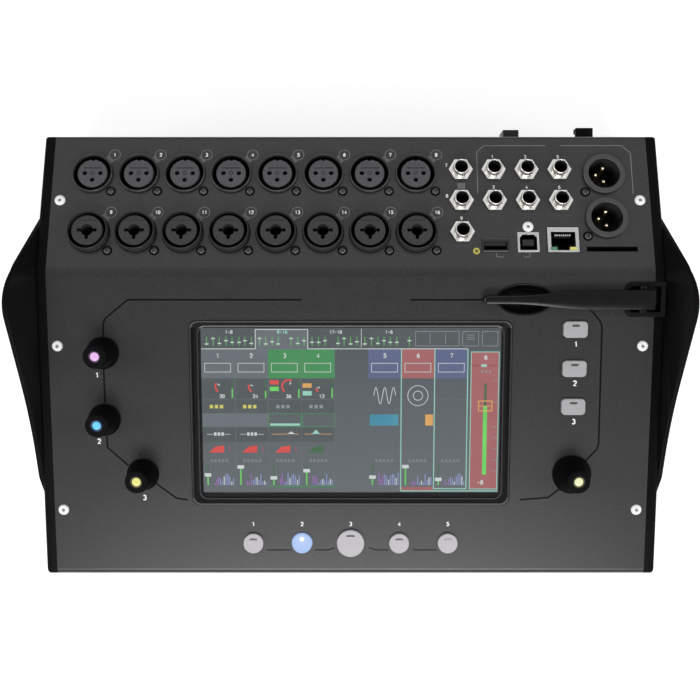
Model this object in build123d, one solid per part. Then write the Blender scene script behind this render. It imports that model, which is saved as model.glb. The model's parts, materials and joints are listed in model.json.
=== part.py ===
"""A compact digital mixing desk: a bent steel top panel between two moulded cheeks with flared fins.

Millimetres, +Z up, +X to the right of the person at the desk, +Y to the rear. The origin is the middle of
the footprint, on the surface that the rubber feet stand on. The top has two planes that meet at a soft
ridge: the control plane falls towards the front and the connector plane falls towards the rear. Places on a
plane are given as (x, v, h): x across the desk, v along the plane from the ridge line (negative on the
control plane) and h out of it.
"""
from build123d import *
import math
import os

os.makedirs("parts", exist_ok=True)

# ---------------------------------------------------------------- driving sizes: casing
panel_width = 307.2
front_wall_y = -118.5
rear_wall_y = 110.5
ridge_y = 38.0
ridge_z = 79.8
front_tilt = 7.0
rear_fall = 13.0
foot_height = 5.0
sheet = 1.5
front_bend = 3.5
ridge_bend = 15.0
rear_bend = 2.0
cheek_thickness = 5.6
fin_wall = 2.2
fin_lean = 0.607
fin_root_drop = fin_wall / fin_lean
fin_rear = (68.5, -fin_root_drop)
fin_crest = (29.3, 17.9)
fin_knee = (-35.9, 3.3)
fin_toe = (-67.2, -0.3)
fin_front = (-77.7, -fin_root_drop)
fin_crest_round = 32.0
fin_knee_round = 400.0
fin_toe_round = 15.0
cheek_edge_round = 1.6

# clearances
slip = 0.1
gap = 0.3
running = 0.03

# screws
panel_screw_head = 2.85
panel_screw_height = 1.3
panel_screw_shank = 1.5
screw_hole_room = 0.2
recess_share = 1.1
recess_width = 0.5
edge_screw_inset = 5.0
edge_screws_v = (38.7, -37.2, -122.8)
tab_width = 9.0
tab_length = 12.0
cheek_screw_head = 3.0
cheek_screw_height = 1.5
cheek_screw_length = 7.0
cheek_screw_sink = 1.8
cheek_screw_places = ((92.0, 20.0), (92.0, 48.0), (0.0, 20.0), (0.0, 52.0), (-104.0, 20.0), (-104.0, 44.0))
base_screw_head = 2.8
inner_screw_height = 1.6
base_screw_inset = 9.0
base_screw_side = 13.0
wall_return = 14.0
foot_radius = 8.0
foot_edge_round = 1.0
foot_inset = (26.0, 28.0)
tap_depth = 8.0
screw_length = 6.0

# ---------------------------------------------------------------- driving sizes: display and controls
screen_x = 0.2
screen_v = -72.55
bezel_size = (164.0, 95.9)
bezel_corner = 4.0
bezel_rise = 1.0
bezel_lap = 2.4
bezel_depth = 5.0
window_size = (156.0, 88.0)
bezel_flare = 3.2
glass_thickness = 1.1
glass_sink = 0.2

control_board_depth = 9.0
board_thickness = 1.6
control_board_rear_v = -25.0
control_board_front_gap = 5.0
board_side_gap = 3.0

knob_height = 15.8
knob_rim_room = 0.6
knob_rim_height = 1.8
knob_waist_height = 4.0
knob_waist_share = 0.86
knob_grip_radius = 6.0
knob_base_radius = 8.25
big_knob_base_radius = 10.0
shaft_radius = 3.0
window_radius = 2.4
window_depth = 1.5
window_sink = 0.2
bushing_wall = 0.5
bushing_radius = shaft_radius + bushing_wall
bushing_height = 3.0
encoder_side = 12.0
encoder_room = 0.7
encoder_floor = 0.7
left_knobs = ((27.6, -40.8), (27.5, -75.3), (46.4, -104.0))
right_knob = (39.4, -104.0)

key_travel = 0.8
key_proud = 1.5
key_side_gap = 0.3
key_flange = 0.9
key_flange_reach = 1.0
key_flange_drop = 0.15
key_stem_radius = 1.7
key_edge_round = 0.4
round_key_radius = 5.15
fader_key_radius = 7.1
round_key_pitch = 25.3
round_key_front_v = 16.9
soft_key_size = (12.2, 8.4)
soft_key_corner = 2.1
soft_key_inset = 39.7
soft_keys_v = (-28.8, -48.85, -68.5)
switch_side = 6.4
switch_height = 3.9
switch_well_depth = 2.3
switch_well_room = 0.15

# ---------------------------------------------------------------- driving sizes: antenna
antenna_v = -13.5
antenna_hinge_inset = 6.2
antenna_length = 80.7
antenna_tip_width = 4.4
antenna_root_width = 10.0
antenna_neck = (34.0, 57.0)
antenna_underside = 0.8
antenna_thickness = 5.0
antenna_edge_round = 1.1
antenna_hinge_height = 1.0
antenna_pin_radius = 1.0
antenna_bend = 40.0
knuckle_radius = 2.2
pocket_width = 17.8
pocket_reach = 15.3
pocket_wall = 1.5
pocket_depth = 6.5
pocket_rise = 0.5
pocket_lap = 0.8
pocket_corner = 4.0
pin_seat = 0.5
scoop_inset = 65.4
scoop_size = (28.2, 16.1)
scoop_wall = 1.2
scoop_depth = 5.5
scoop_rise = 0.3
scoop_lap = 0.7

# ---------------------------------------------------------------- driving sizes: connectors
connector_depth = 22.4
connector_board_v = (5.0, 64.6)
mic_inset = 20.5
mic_pitch = 23.82
mic_count = 8
mic_v = 53.4
combo_v = 21.3
socket_body_radius = 11.0
socket_floor_depth = 18.0
socket_screw_offset = (9.9, -9.7)
socket_screw_head = 2.2
socket_screw_height = 1.1
socket_screw_shank = 1.1
socket_lug_radius = 2.6
socket_web = 3.0
socket_edge_round = 0.4
mic_ring_radius = 10.55
mic_ring_wall = 0.9
mic_ring_rise = 2.0
mic_insert_radius = 7.65
mic_insert_rise = 0.9
mic_contact_radius = 1.25
mic_contact_spots = ((-4.0, 0.0), (4.0, 0.0), (0.0, -3.6))
mic_contact_depth = 11.0
mic_mark_size = (9.4, 0.6)
mic_mark_offset = 2.6
mic_mark_depth = 0.5
combo_ring_radius = 10.7
combo_ring_wall = 1.0
combo_ring_rise = 4.5
combo_insert_radius = 8.1
combo_insert_rise = 3.9
combo_bore_depth = 16.5
combo_contact_spots = ((-4.3, 0.0), (4.3, 0.0), (0.0, -3.95))
jack_bore_radius = 3.25
jack_bore_depth = 18.0
main_inset = 23.1
mains_v = (53.0, 29.0)
main_ring_radius = 10.5
main_ring_rise = 2.0
main_bore_radius = 8.15
main_floor_depth = 14.0
main_pin_radius = 1.15
main_pin_rise = 0.2
main_pin_spots = ((0.0, 3.65), (-3.9, 0.0), (0.0, -3.65))
main_insert_height = 3.0

jack_inset = 46.1
jack_pitch = 16.93
jacks_v = (55.1, 38.2, 21.2)
jack_places = ((3, 0), (3, 1), (3, 2), (2, 0), (1, 0), (0, 0), (2, 1), (1, 1), (0, 1))
jack_thread_radius = 4.5
jack_tip_rise = 5.8
jack_body_size = (13.6, 14.4)
nut_across_flats = 11.1
nut_height = 2.0
nut_crown_angle = 30.0

usb_a_size = (13.8, 7.3)
usb_a_mouth = (12.1, 4.9)
usb_a_tongue = (11.0, 1.7)
usb_a_tongue_room = 0.6
usb_b_size = (11.0, 10.7)
usb_b_mouth = (8.6, 7.9)
usb_b_block = (5.8, 3.2)
usb_b_chamfer = 1.7
network_size = (16.0, 13.4)
network_mouth = (11.8, 9.4)
card_body_size = (28.0, 4.4)
card_slot_size = (25.6, 2.4)
port_foot_v = 10.7
port_shifts = (-0.2, -0.4, 0.4)
port_mouth_depth = 12.0
port_rise = 0.4
port_block_sink = 0.5
card_slot_floor = 3.0
card_inset = 21.1
card_v = 12.4
status_light_inset = 89.9
status_light_v = 11.3
status_light_radius = 1.75
status_light_rise = 0.3
board_post_v = 24.3
board_post_radius = 2.4

# rear wall
inlet_inset = 67.6
inlet_size = (8.6, 12.0)
inlet_z = 44.0
inlet_reach = 6.5
inlet_inner_depth = 9.0
inlet_bore_radius = 2.85
inlet_pin_radius = 1.0
inlet_floor = 3.0
inlet_flange = 2.0
inlet_pin_sink = 1.5
inlet_corner = 1.0
switch_inset = 50.0
switch_bezel = (13.5, 20.0)
switch_z = 37.0
switch_bezel_rise = 1.5
switch_corner = 1.2
switch_depth = 12.0
switch_floor = 2.0
rocker_size = (8.4, 15.0)
rocker_axle_radius = 1.0
rocker_axle_reach = 0.5
rocker_angle = 8.0
rocker_depth = 6.0
rocker_face = 1.2
rocker_sink = 1.0
rocker_end_room = 0.7
rocker_taper = 1.0
hook_inset = 27.9
hook_width = 9.2
hook_top = 48.6
hook_reach = 8.0
hook_lip = 2.2
hook_stem = 2.5
hook_lip_height = 6.5
hook_foot_height = 13.0
hook_foot_thickness = 1.2
hook_corner = 1.2

# inside
main_board_size = (240.0, 150.0)
main_board_height = 10.0
main_board_y = -12.0
standoff_radius = 3.0
standoff_inset = 8.0
board_screw_head = 2.6

# ---------------------------------------------------------------- worked-out places
half = panel_width / 2
front_angle = math.radians(front_tilt)
rear_angle = math.radians(rear_fall)
front_slope = math.tan(front_angle)
rear_slope = math.tan(rear_angle)
front_plane = Plane(
    origin=(0, ridge_y, ridge_z), x_dir=(1, 0, 0), z_dir=(0, -math.sin(front_angle), math.cos(front_angle))
)
rear_plane = Plane(
    origin=(0, ridge_y, ridge_z), x_dir=(1, 0, 0), z_dir=(0, math.sin(rear_angle), math.cos(rear_angle))
)
front_edge_v = (front_wall_y - ridge_y) / math.cos(front_angle)
tray_floor_top = foot_height + sheet
mic_xs = [-half + mic_inset + mic_pitch * i for i in range(mic_count)]
main_x = half - main_inset
jack_columns = [half - jack_inset - jack_pitch * i for i in range(4)]
card_x = half - card_inset
light_x = half - status_light_inset
hinge_x = half - antenna_hinge_inset
pocket_inner_side = pocket_width / 2 - pocket_lap - pocket_wall
scoop_x = half - scoop_inset
knob_places = [(-half + x, v) for x, v in left_knobs] + [(half - right_knob[0], right_knob[1])]
knob_radii = [knob_base_radius] * len(left_knobs) + [big_knob_base_radius]
round_key_v = front_edge_v + round_key_front_v
round_key_radii = [round_key_radius, round_key_radius, fader_key_radius, round_key_radius, round_key_radius]
round_keys = [(round_key_pitch * (i - 2), round_key_v, r) for i, r in enumerate(round_key_radii)]
soft_key_x = half - soft_key_inset
inlet_x = half - inlet_inset
switch_x = half - switch_inset
hook_x = half - hook_inset
edge_screw_x = half - edge_screw_inset
board_post_x = jack_columns[1]


def on_front(x, v, h=0.0):
    """A place on the control plane."""
    return front_plane * Pos(x, v, h)


def on_rear(x, v, h=0.0):
    """A place on the connector plane."""
    return rear_plane * Pos(x, v, h)


def on_rear_wall(x, z):
    """A place on the outside of the rear wall, its own Z pointing out of the desk."""
    return Plane(origin=(x, rear_wall_y, z), x_dir=(-1, 0, 0), z_dir=(0, 1, 0))


def panel_z(y):
    """Height of the casing's outer skin at y."""
    return ridge_z + (front_slope * (y - ridge_y) if y < ridge_y else -rear_slope * (y - ridge_y))


def block(width, length, bottom, top):
    """A straight block centred on its place, from bottom to top along the place's own Z."""
    return Pos(0, 0, (bottom + top) / 2) * Box(width, length, top - bottom)


def rod(radius, bottom, top):
    """A round rod on its place's own Z."""
    return Pos(0, 0, (bottom + top) / 2) * Cylinder(radius, top - bottom)


def rounded(width, length, corner, bottom, top):
    """A block with rounded upright corners."""
    return Pos(0, 0, bottom) * extrude(RectangleRounded(width, length, corner), top - bottom)


def save(name, *solids):
    """Writes one node's solids."""
    pieces = [s for shape in solids for s in shape.solids()]
    export_step(pieces[0] if len(pieces) == 1 else Compound(pieces), f"parts/{name}.step")


def casing_section(inset, floor):
    """The casing's side outline, drawn inset inside the outer skin and down to floor, as a face across X."""
    front = front_wall_y + inset
    rear = rear_wall_y - inset
    front_drop = inset / math.cos(front_angle)
    rear_drop = inset / math.cos(rear_angle)
    shift = (front_drop - rear_drop) / (front_slope + rear_slope)
    crest = ridge_z + front_slope * shift - front_drop
    front_top = ridge_z + front_slope * (front - ridge_y) - front_drop
    rear_top = ridge_z - rear_slope * (rear - ridge_y) - rear_drop
    outline = FilletPolyline(
        (front, floor),
        (front, front_top),
        (ridge_y + shift, crest),
        (rear, rear_top),
        (rear, floor),
        radius=(0, front_bend - inset, ridge_bend - inset, max(rear_bend - inset, 0), 0),
        close=True,
    )
    return Plane.YZ * make_face(outline)


def casing_prism(inset, floor, x_low, x_high):
    """The casing's side outline run from x_low to x_high."""
    return Pos(x_low, 0, 0) * extrude(casing_section(inset, floor), x_high - x_low)


# ---------------------------------------------------------------- casing
def panel_cutters():
    """Everything that the top panel is pierced for."""
    below = -3 * sheet
    above = 2 * sheet
    neck = [size - 2 * bezel_lap + 2 * gap for size in bezel_size]
    corner = bezel_corner - bezel_lap / 2 + gap
    cuts = [on_front(screen_x, screen_v) * rounded(*neck, corner, below, above)]
    cuts += [on_front(x, v) * rod(bushing_radius + gap, below, above) for x, v in knob_places]
    cuts += [on_front(x, v) * rod(r + key_side_gap, below, above) for x, v, r in round_keys]
    wide, long = [size + 2 * key_side_gap for size in soft_key_size]
    soft_cut = rounded(wide, long, soft_key_corner, below, above)
    cuts += [on_front(soft_key_x, v) * soft_cut for v in soft_keys_v]
    cuts += [on_rear(x, mic_v) * rod(mic_ring_radius + slip, below, above) for x in mic_xs]
    cuts += [on_rear(x, combo_v) * rod(combo_ring_radius + slip, below, above) for x in mic_xs]
    cuts += [on_rear(main_x, v) * rod(main_ring_radius + slip, below, above) for v in mains_v]
    small_hole = rod(socket_screw_shank + screw_hole_room, below, above)
    cuts += [place * small_hole for place in socket_screw_spots()]
    cuts += [place * rod(jack_thread_radius + slip, below, above) for place in jack_spots()]
    for x, size in port_sizes():
        wide, long = [length + 2 * slip for length in size]
        cuts.append(on_rear(x, port_foot_v + size[1] / 2) * block(wide, long, below, above))
    cuts.append(on_rear(card_x, card_v) * block(*card_slot_size, below, above))
    cuts.append(on_rear(light_x, status_light_v) * rod(status_light_radius + slip, below, above))
    cuts += [place * rod(panel_screw_shank + screw_hole_room, below, above) for place in panel_screw_spots()]
    cuts.append(pocket_place() * pocket_block(pocket_lap - slip, below, above))
    cuts.append(scoop_ellipse(scoop_lap - slip, below, above))
    neck = [size + 2 * slip for size in inlet_size]
    cuts.append(on_rear_wall(inlet_x, inlet_z) * block(*neck, below, above))
    neck = [size - 2 * switch_bezel_rise + 2 * slip for size in switch_bezel]
    cuts.append(on_rear_wall(switch_x, switch_z) * block(*neck, below, above))
    return cuts


def top_panel():
    """Bent steel: front wall, two planes that meet at the ridge, rear wall, and a return under each wall."""
    shell = casing_prism(0, foot_height, -half, half)
    shell -= casing_prism(sheet, foot_height - sheet, -half - 1, half + 1)
    for y in (front_wall_y + sheet + wall_return / 2, rear_wall_y - sheet - wall_return / 2):
        width = panel_width - 2 * (sheet + gap)
        shell += Pos(0, y, 0) * block(width, wall_return, tray_floor_top, tray_floor_top + sheet)
    thread = rod(panel_screw_shank, 0, tray_floor_top + 2 * sheet)
    threads = [Pos(x, y, 0) * thread for x, y in base_screw_spots()]
    return shell - panel_cutters() - threads


def tray_tabs():
    """The six tabs folded in from the tray's side walls, which the side screws of the top panel enter."""
    tabs = []
    for place in panel_screw_spots()[:6]:
        side = 1 if place.position.X > 0 else -1
        reach = tab_width - sheet
        tab = block(reach, tab_length, -2 * sheet, -sheet)
        hole = rod(panel_screw_shank, -3 * sheet, 0)
        middle = Pos(side * (edge_screw_inset - sheet - reach / 2), 0, 0)
        tabs.append(place * (middle * tab - hole))
    return tabs


def base_tray():
    """Folded steel tray: floor and two side walls, inside the top panel."""
    inset = sheet + slip
    tray = casing_prism(inset, foot_height, -half, half)
    tray -= casing_prism(inset - sheet, tray_floor_top, -half + sheet, half - sheet)
    floor_hole = Pos(0, 0, foot_height) * rod(panel_screw_shank, -1, 2 * sheet)
    side_hole = rod(panel_screw_shank, -cheek_thickness - 2 * sheet, 0)
    holes = [Pos(x, y, 0) * floor_hole for x, y in base_screw_spots() + foot_spots() + standoff_spots()]
    holes += [place * side_hole for place in cheek_screw_spots()]
    holes.append(pocket_place() * pocket_block(-slip, -pocket_depth - slip, pocket_rise))
    return tray + tray_tabs() - holes


def fin():
    """The right-hand fin: a wall that leans out from the cheek's top edge, cut to its long low wave."""
    spare = 2.0
    low = -fin_root_drop - spare
    high = fin_crest[1] + spare
    section = Polyline(
        (-fin_wall - fin_lean * spare, low),
        (0, low),
        (0, -fin_root_drop),
        (fin_wall + fin_lean * high, high),
        (fin_lean * high, high),
        (-fin_lean * fin_root_drop, -fin_root_drop),
        close=True,
    )
    root = Plane(origin=(half + cheek_thickness, ridge_y, ridge_z), x_dir=(1, 0, 0), z_dir=(0, -1, 0))
    face = root * make_face(section)
    forward = extrude(face, (ridge_y - front_wall_y), dir=(0, -1, -front_slope))
    backward = extrude(face, (rear_wall_y - ridge_y), dir=(0, 1, -rear_slope))
    corners = [(y, panel_z(y) + h) for y, h in (fin_rear, fin_crest, fin_knee, fin_toe, fin_front)]
    depth = fin_root_drop + 2 * spare
    wave = FilletPolyline(
        *corners,
        (fin_front[0], corners[-1][1] - depth),
        (fin_rear[0], corners[0][1] - depth),
        radius=(0, fin_crest_round, fin_knee_round, fin_toe_round, 0, 0, 0),
        close=True,
    )
    reach = cheek_thickness + 2 * (fin_wall + fin_lean * high)
    keep = Pos(half, 0, 0) * extrude(Plane.YZ * make_face(wave), reach)
    return (forward + backward) & keep


def cheek():
    """The right-hand cheek: a moulded plate, flush with the top panel and rounded outside, and its fin."""
    plate = casing_prism(0, foot_height, half, half + cheek_thickness)
    plate = fillet(plate.edges().filter_by(Axis.Z).group_by(Axis.X)[-1], cheek_edge_round)
    return plate + fin()


def cheeks():
    """Both cheeks, with their countersunk screw holes and the notch for the antenna's pocket."""
    right = cheek()
    left = mirror(right, Plane.YZ)
    for place in cheek_screw_spots():
        hole = place * (rod(panel_screw_shank + screw_hole_room, -2 * cheek_thickness, 1))
        seat = place * rod(cheek_screw_head + gap, -cheek_screw_sink, 1)
        if place.position.X > 0:
            right = right - hole - seat
        else:
            left = left - hole - seat
    right -= pocket_place() * pocket_block(-slip, -pocket_depth - slip, pocket_rise + fin_crest[1])
    return left, right


def screw(head_radius, head_height, shank_radius, length):
    """A pan-head screw with a cross recess, its head on the place and its shank going down."""
    head = rod(head_radius, 0, head_height)
    head = fillet(head.edges().group_by(Axis.Z)[-1], head_height * 0.45)
    across = head_radius * recess_share
    recess = block(across, recess_width, head_height / 2, head_height + 1)
    return head - recess - Rot(0, 0, 90) * recess + rod(shank_radius, -length, 0)


def panel_screw_spots():
    """Six screws along the sides and one among the connectors."""
    spots = []
    for v in edge_screws_v:
        place = on_rear if v > 0 else on_front
        spots += [place(-edge_screw_x, v), place(edge_screw_x, v)]
    return spots + [on_rear(board_post_x, board_post_v)]


def cheek_screw_spots():
    """Screws through each cheek into the tray's side walls, their Z pointing out of the desk."""
    spots = []
    for side in (-1, 1):
        for y, z in cheek_screw_places:
            outer = (side * (half + cheek_thickness), y, z)
            spots.append(Location(Plane(origin=outer, x_dir=(0, 1, 0), z_dir=(side, 0, 0))))
    return spots


def base_screw_spots():
    """Screws along the front and rear edges of the tray's floor."""
    ys = (front_wall_y + base_screw_inset, rear_wall_y - base_screw_inset)
    side = half - base_screw_side
    return [(x, y) for x in (-side, 0, side) for y in ys]


def foot_spots():
    """Centres of the four feet."""
    x = half - foot_inset[0]
    ys = (front_wall_y + foot_inset[1], rear_wall_y - foot_inset[1])
    return [(sx * x, y) for sx in (-1, 1) for y in ys]


def standoff_spots():
    """Standoffs under the corners of the main board."""
    x = main_board_size[0] / 2 - standoff_inset
    y = main_board_size[1] / 2 - standoff_inset
    return [(sx * x, main_board_y + sy * y) for sx in (-1, 1) for sy in (-1, 1)]


def rubber_feet():
    """Round rubber feet, each held by a peg through the tray."""
    foot = rod(foot_radius, 0, foot_height)
    foot = fillet(foot.edges().group_by(Axis.Z)[0], foot_edge_round)
    foot += rod(panel_screw_shank - slip, foot_height, foot_height + sheet)
    return [Pos(x, y, 0) * foot for x, y in foot_spots()]


def panel_screws():
    """White screws through the top panel, into the tray's tabs and the board post."""
    one = screw(panel_screw_head, panel_screw_height, panel_screw_shank - slip, screw_length)
    return [place * one for place in panel_screw_spots()]


def cheek_screws():
    """Screws sunk in the cheeks, into the tray's side walls."""
    one = screw(cheek_screw_head, cheek_screw_height, panel_screw_shank - slip, cheek_screw_length)
    return [place * Pos(0, 0, -cheek_screw_sink) * one for place in cheek_screw_spots()]


def base_screws():
    """Screws through the tray's floor into the returns of the front and rear walls, heads downwards."""
    one = screw(base_screw_head, inner_screw_height, panel_screw_shank - slip, screw_length)
    return [Pos(x, y, foot_height) * Rot(180, 0, 0) * one for x, y in base_screw_spots()]


# ---------------------------------------------------------------- display
def display_bezel():
    """Moulded frame with a rounded outline; its window flares open towards the top."""
    frame = rounded(*bezel_size, bezel_corner, 0, bezel_rise)
    frame = chamfer(frame.edges().group_by(Axis.Z)[-1], bezel_rise * 0.35)
    neck = [size - 2 * bezel_lap for size in bezel_size]
    frame += rounded(*neck, bezel_corner - bezel_lap / 2, -bezel_depth, 0)
    frame -= block(*window_size, -bezel_depth - 1, bezel_rise + 1)
    mouth = [size + 2 * bezel_flare for size in window_size]
    flare = loft([Rectangle(*window_size), Pos(0, 0, bezel_rise + glass_sink) * Rectangle(*mouth)])
    frame -= Pos(0, 0, -glass_sink) * flare
    return on_front(screen_x, screen_v) * frame


def touch_glass():
    """Flat cover glass, just below the bezel's window edge."""
    size = [length - 2 * slip for length in window_size]
    return on_front(screen_x, screen_v) * block(*size, -glass_sink - glass_thickness, -glass_sink)


def lcd_module():
    """Display module behind the glass, on the control board."""
    size = [length - 4 * slip for length in window_size]
    return on_front(screen_x, screen_v) * block(*size, -control_board_depth, -glass_sink - glass_thickness)


# ---------------------------------------------------------------- knobs and keys
def knob_cap(base_radius):
    """A waisted cap: a flared skirt, a tapered grip and a rounded top with a round light window."""
    half_section = FilletPolyline(
        (0, knob_rim_room),
        (base_radius, knob_rim_room),
        (base_radius, knob_rim_height),
        (base_radius * knob_waist_share, knob_waist_height),
        (knob_grip_radius, knob_height),
        (0, knob_height),
        radius=(0, 0.35, 0.6, 5.0, 1.3, 0),
        close=True,
    )
    cap = revolve(Plane.XZ * make_face(half_section), Axis.Z)
    cap -= rod(bushing_radius + gap, 0, bushing_height + gap)
    cap -= rod(shaft_radius, 0, knob_height - window_depth)
    return cap - rod(window_radius, 0, knob_height + 1)


def knob_shaft():
    """Clear shaft that carries the light from the board to the window in the knob's top."""
    radius = shaft_radius - running
    shaft = rod(radius, -control_board_depth + encoder_floor + gap, knob_height - window_depth - running)
    return shaft + rod(window_radius - running, 0, knob_height - window_sink)


def encoder_body():
    """Square encoder on the control board, its threaded bushing through the top panel."""
    body = block(encoder_side, encoder_side, -control_board_depth, -sheet - encoder_room)
    body += rod(bushing_radius, -sheet - encoder_room, bushing_height)
    return body - rod(shaft_radius, -control_board_depth + encoder_floor, bushing_height + 1)


def key_stem():
    """Stem under a key, down into the well of its switch."""
    well_floor = switch_height - control_board_depth - switch_well_depth
    return rod(key_stem_radius, well_floor + key_travel + gap, -sheet)


def round_key(radius):
    """Round key with a flange that holds it under the panel."""
    high = -sheet - key_flange_drop
    low = high - key_flange
    cap = rod(radius, low, key_proud)
    cap = fillet(cap.edges().group_by(Axis.Z)[-1], key_edge_round)
    return cap + rod(radius + key_flange_reach, low, high) + key_stem()


def soft_key():
    """Rounded rectangular key with a flange that holds it under the panel."""
    high = -sheet - key_flange_drop
    low = high - key_flange
    cap = rounded(*soft_key_size, soft_key_corner, low, key_proud)
    cap = fillet(cap.edges().group_by(Axis.Z)[-1], key_edge_round)
    flange = [size + 2 * key_flange_reach for size in soft_key_size]
    return cap + rounded(*flange, soft_key_corner, low, high) + key_stem()


def key_spots():
    """Places of all the keys, round ones first."""
    return [on_front(x, v) for x, v, r in round_keys] + [on_front(soft_key_x, v) for v in soft_keys_v]


def key_switch():
    """Switch on the control board, with a well for the key's stem."""
    top = -control_board_depth + switch_height
    body = block(switch_side, switch_side, -control_board_depth, top)
    return body - rod(key_stem_radius + switch_well_room, top - switch_well_depth, top + 1)


def control_board():
    """Board under the control plane, carrying the display, encoders and key switches."""
    front_v = front_edge_v + control_board_front_gap
    middle = (front_v + control_board_rear_v) / 2
    plate = block(
        panel_width - 2 * (sheet + board_side_gap),
        control_board_rear_v - front_v,
        -control_board_depth - board_thickness,
        -control_board_depth,
    )
    return on_front(0, middle) * plate


# ---------------------------------------------------------------- antenna
def pocket_place():
    """Middle of the antenna's pocket, which runs from the panel into the right cheek's top."""
    return on_front(half + (cheek_thickness - pocket_reach) / 2 - gap / 2, antenna_v)


def pocket_block(inset, bottom, top):
    """The pocket's outline, drawn in by inset, rounded at the panel end."""
    length = pocket_reach + cheek_thickness - gap - 2 * inset
    width = pocket_width - 2 * inset
    shape = block(length, width, bottom, top)
    return fillet(shape.edges().filter_by(Axis.Z).group_by(Axis.X)[0], pocket_corner - inset)


def antenna_bracket():
    """Moulded pocket with a knuckle on each long wall for the antenna's hinge pin."""
    shape = pocket_block(0, 0, pocket_rise) + pocket_block(pocket_lap, -pocket_depth, 0)
    shape -= pocket_block(pocket_lap + pocket_wall, -pocket_depth + pocket_wall, pocket_rise + 1)
    length = pocket_inner_side - antenna_root_width / 2 - gap + slip
    hinge = Pos(hinge_x - pocket_place().position.X, 0, antenna_hinge_height)
    for way in (-1, 1):
        side = hinge * Pos(0, way * (pocket_inner_side + slip - length / 2), 0)
        shape += side * Rot(90, 0, 0) * Cylinder(knuckle_radius, length)
        foot = pocket_wall - pocket_depth - antenna_hinge_height
        shape += side * block(2 * knuckle_radius, length, foot, 0)
    hole = hinge * Rot(90, 0, 0) * Cylinder(antenna_pin_radius, 2 * (pocket_inner_side + pin_seat))
    return pocket_place() * (shape - hole)


def antenna_pin():
    """Steel hinge pin across the pocket."""
    pin = Cylinder(antenna_pin_radius - running, 2 * (pocket_inner_side + pin_seat - slip))
    return on_front(hinge_x, antenna_v, antenna_hinge_height) * Rot(90, 0, 0) * pin


def antenna_blade():
    """Flip-up blade: narrow at the tip, widening to a root barrel that turns on the pin."""
    tip = antenna_tip_width / 2
    root = antenna_root_width / 2
    tip_round = tip * 0.9
    start = -antenna_length
    narrow, wide = start + antenna_neck[0], start + antenna_neck[1]
    outline = FilletPolyline(
        (0, root),
        (wide, root),
        (narrow, tip),
        (start, tip),
        (start, -tip),
        (narrow, -tip),
        (wide, -root),
        (0, -root),
        radius=(0, antenna_bend, antenna_bend, tip_round, tip_round, antenna_bend, antenna_bend, 0),
        close=True,
    )
    top = antenna_underside + antenna_thickness - antenna_hinge_height
    low = antenna_underside - antenna_hinge_height
    blade = Pos(0, 0, low) * extrude(make_face(outline), antenna_thickness)
    rim = blade.edges().group_by(Axis.Z)[-1].filter_by(lambda e: e.center().X < -0.1)
    blade = fillet(rim, antenna_edge_round)
    barrel = Rot(90, 0, 0) * Cylinder(top, antenna_root_width)
    blade += barrel
    blade -= Rot(90, 0, 0) * Cylinder(antenna_pin_radius, antenna_root_width + 2)
    return on_front(hinge_x, antenna_v, antenna_hinge_height) * blade


def scoop_ellipse(inset, bottom, top):
    """The finger scoop's outline, drawn in by inset."""
    ellipse = Ellipse(scoop_size[0] / 2 - inset, scoop_size[1] / 2 - inset)
    return on_front(scoop_x, antenna_v, bottom) * extrude(ellipse, top - bottom)


def finger_scoop():
    """Moulded cup under the antenna's tip, so that a finger can lift it."""
    cup = scoop_ellipse(0, 0, scoop_rise) + scoop_ellipse(scoop_lap, -scoop_depth, 0)
    return cup - scoop_ellipse(scoop_lap + scoop_wall, -scoop_depth + scoop_wall, scoop_rise + 1)


# ---------------------------------------------------------------- connectors
def socket_screw_spots():
    """One small screw beside each round socket."""
    dx, dv = socket_screw_offset
    spots = [on_rear(x + dx, v + dv) for v in (mic_v, combo_v) for x in mic_xs]
    return spots + [on_rear(main_x - dx, v + dv) for v in mains_v]


def socket_screws():
    """Small screws through the panel into the sockets' lugs."""
    one = screw(socket_screw_head, socket_screw_height, socket_screw_shank - slip, screw_length)
    return [place * one for place in socket_screw_spots()]


def socket_housing(ring_radius, rise, side):
    """Round housing: a body under the panel, a neck through it and a lug for the small screw."""
    dx, dv = socket_screw_offset
    reach = math.hypot(dx, dv)
    screw_way = Rot(0, 0, math.degrees(math.atan2(dv, side * dx)))
    screw_place = screw_way * Pos(reach, 0, 0)
    body = rod(socket_body_radius, -connector_depth, -sheet)
    body += screw_place * rod(socket_lug_radius, -connector_depth, -sheet)
    body += screw_way * Pos(reach / 2, 0, 0) * block(reach, socket_web, -connector_depth, -sheet)
    neck = rod(ring_radius, -sheet, rise)
    neck = fillet(neck.edges().group_by(Axis.Z)[-1], socket_edge_round)
    return body + neck - screw_place * rod(socket_screw_shank, -tap_depth, 0)


def mic_socket():
    """Housing of a three-pole microphone socket: a ring round a deep annular groove."""
    groove = rod(mic_ring_radius - mic_ring_wall, -socket_floor_depth, mic_ring_rise + 1)
    return socket_housing(mic_ring_radius, mic_ring_rise, 1) - groove


def mic_insert():
    """Contact block of a microphone socket, on the housing's floor."""
    insert = rod(mic_insert_radius, -socket_floor_depth, mic_insert_rise)
    insert = fillet(insert.edges().group_by(Axis.Z)[-1], socket_edge_round)
    for x, y in mic_contact_spots:
        hole = rod(mic_contact_radius, mic_insert_rise - mic_contact_depth, mic_insert_rise + 1)
        insert -= Pos(x, y, 0) * hole
    mark = block(*mic_mark_size, mic_insert_rise - mic_mark_depth, mic_insert_rise + 1)
    return insert - Pos(0, mic_mark_offset, 0) * mark


def combo_socket():
    """Housing of a combination socket, which stands higher above the panel."""
    groove = rod(combo_ring_radius - combo_ring_wall, -socket_floor_depth, combo_ring_rise + 1)
    return socket_housing(combo_ring_radius, combo_ring_rise, 1) - groove


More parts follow.
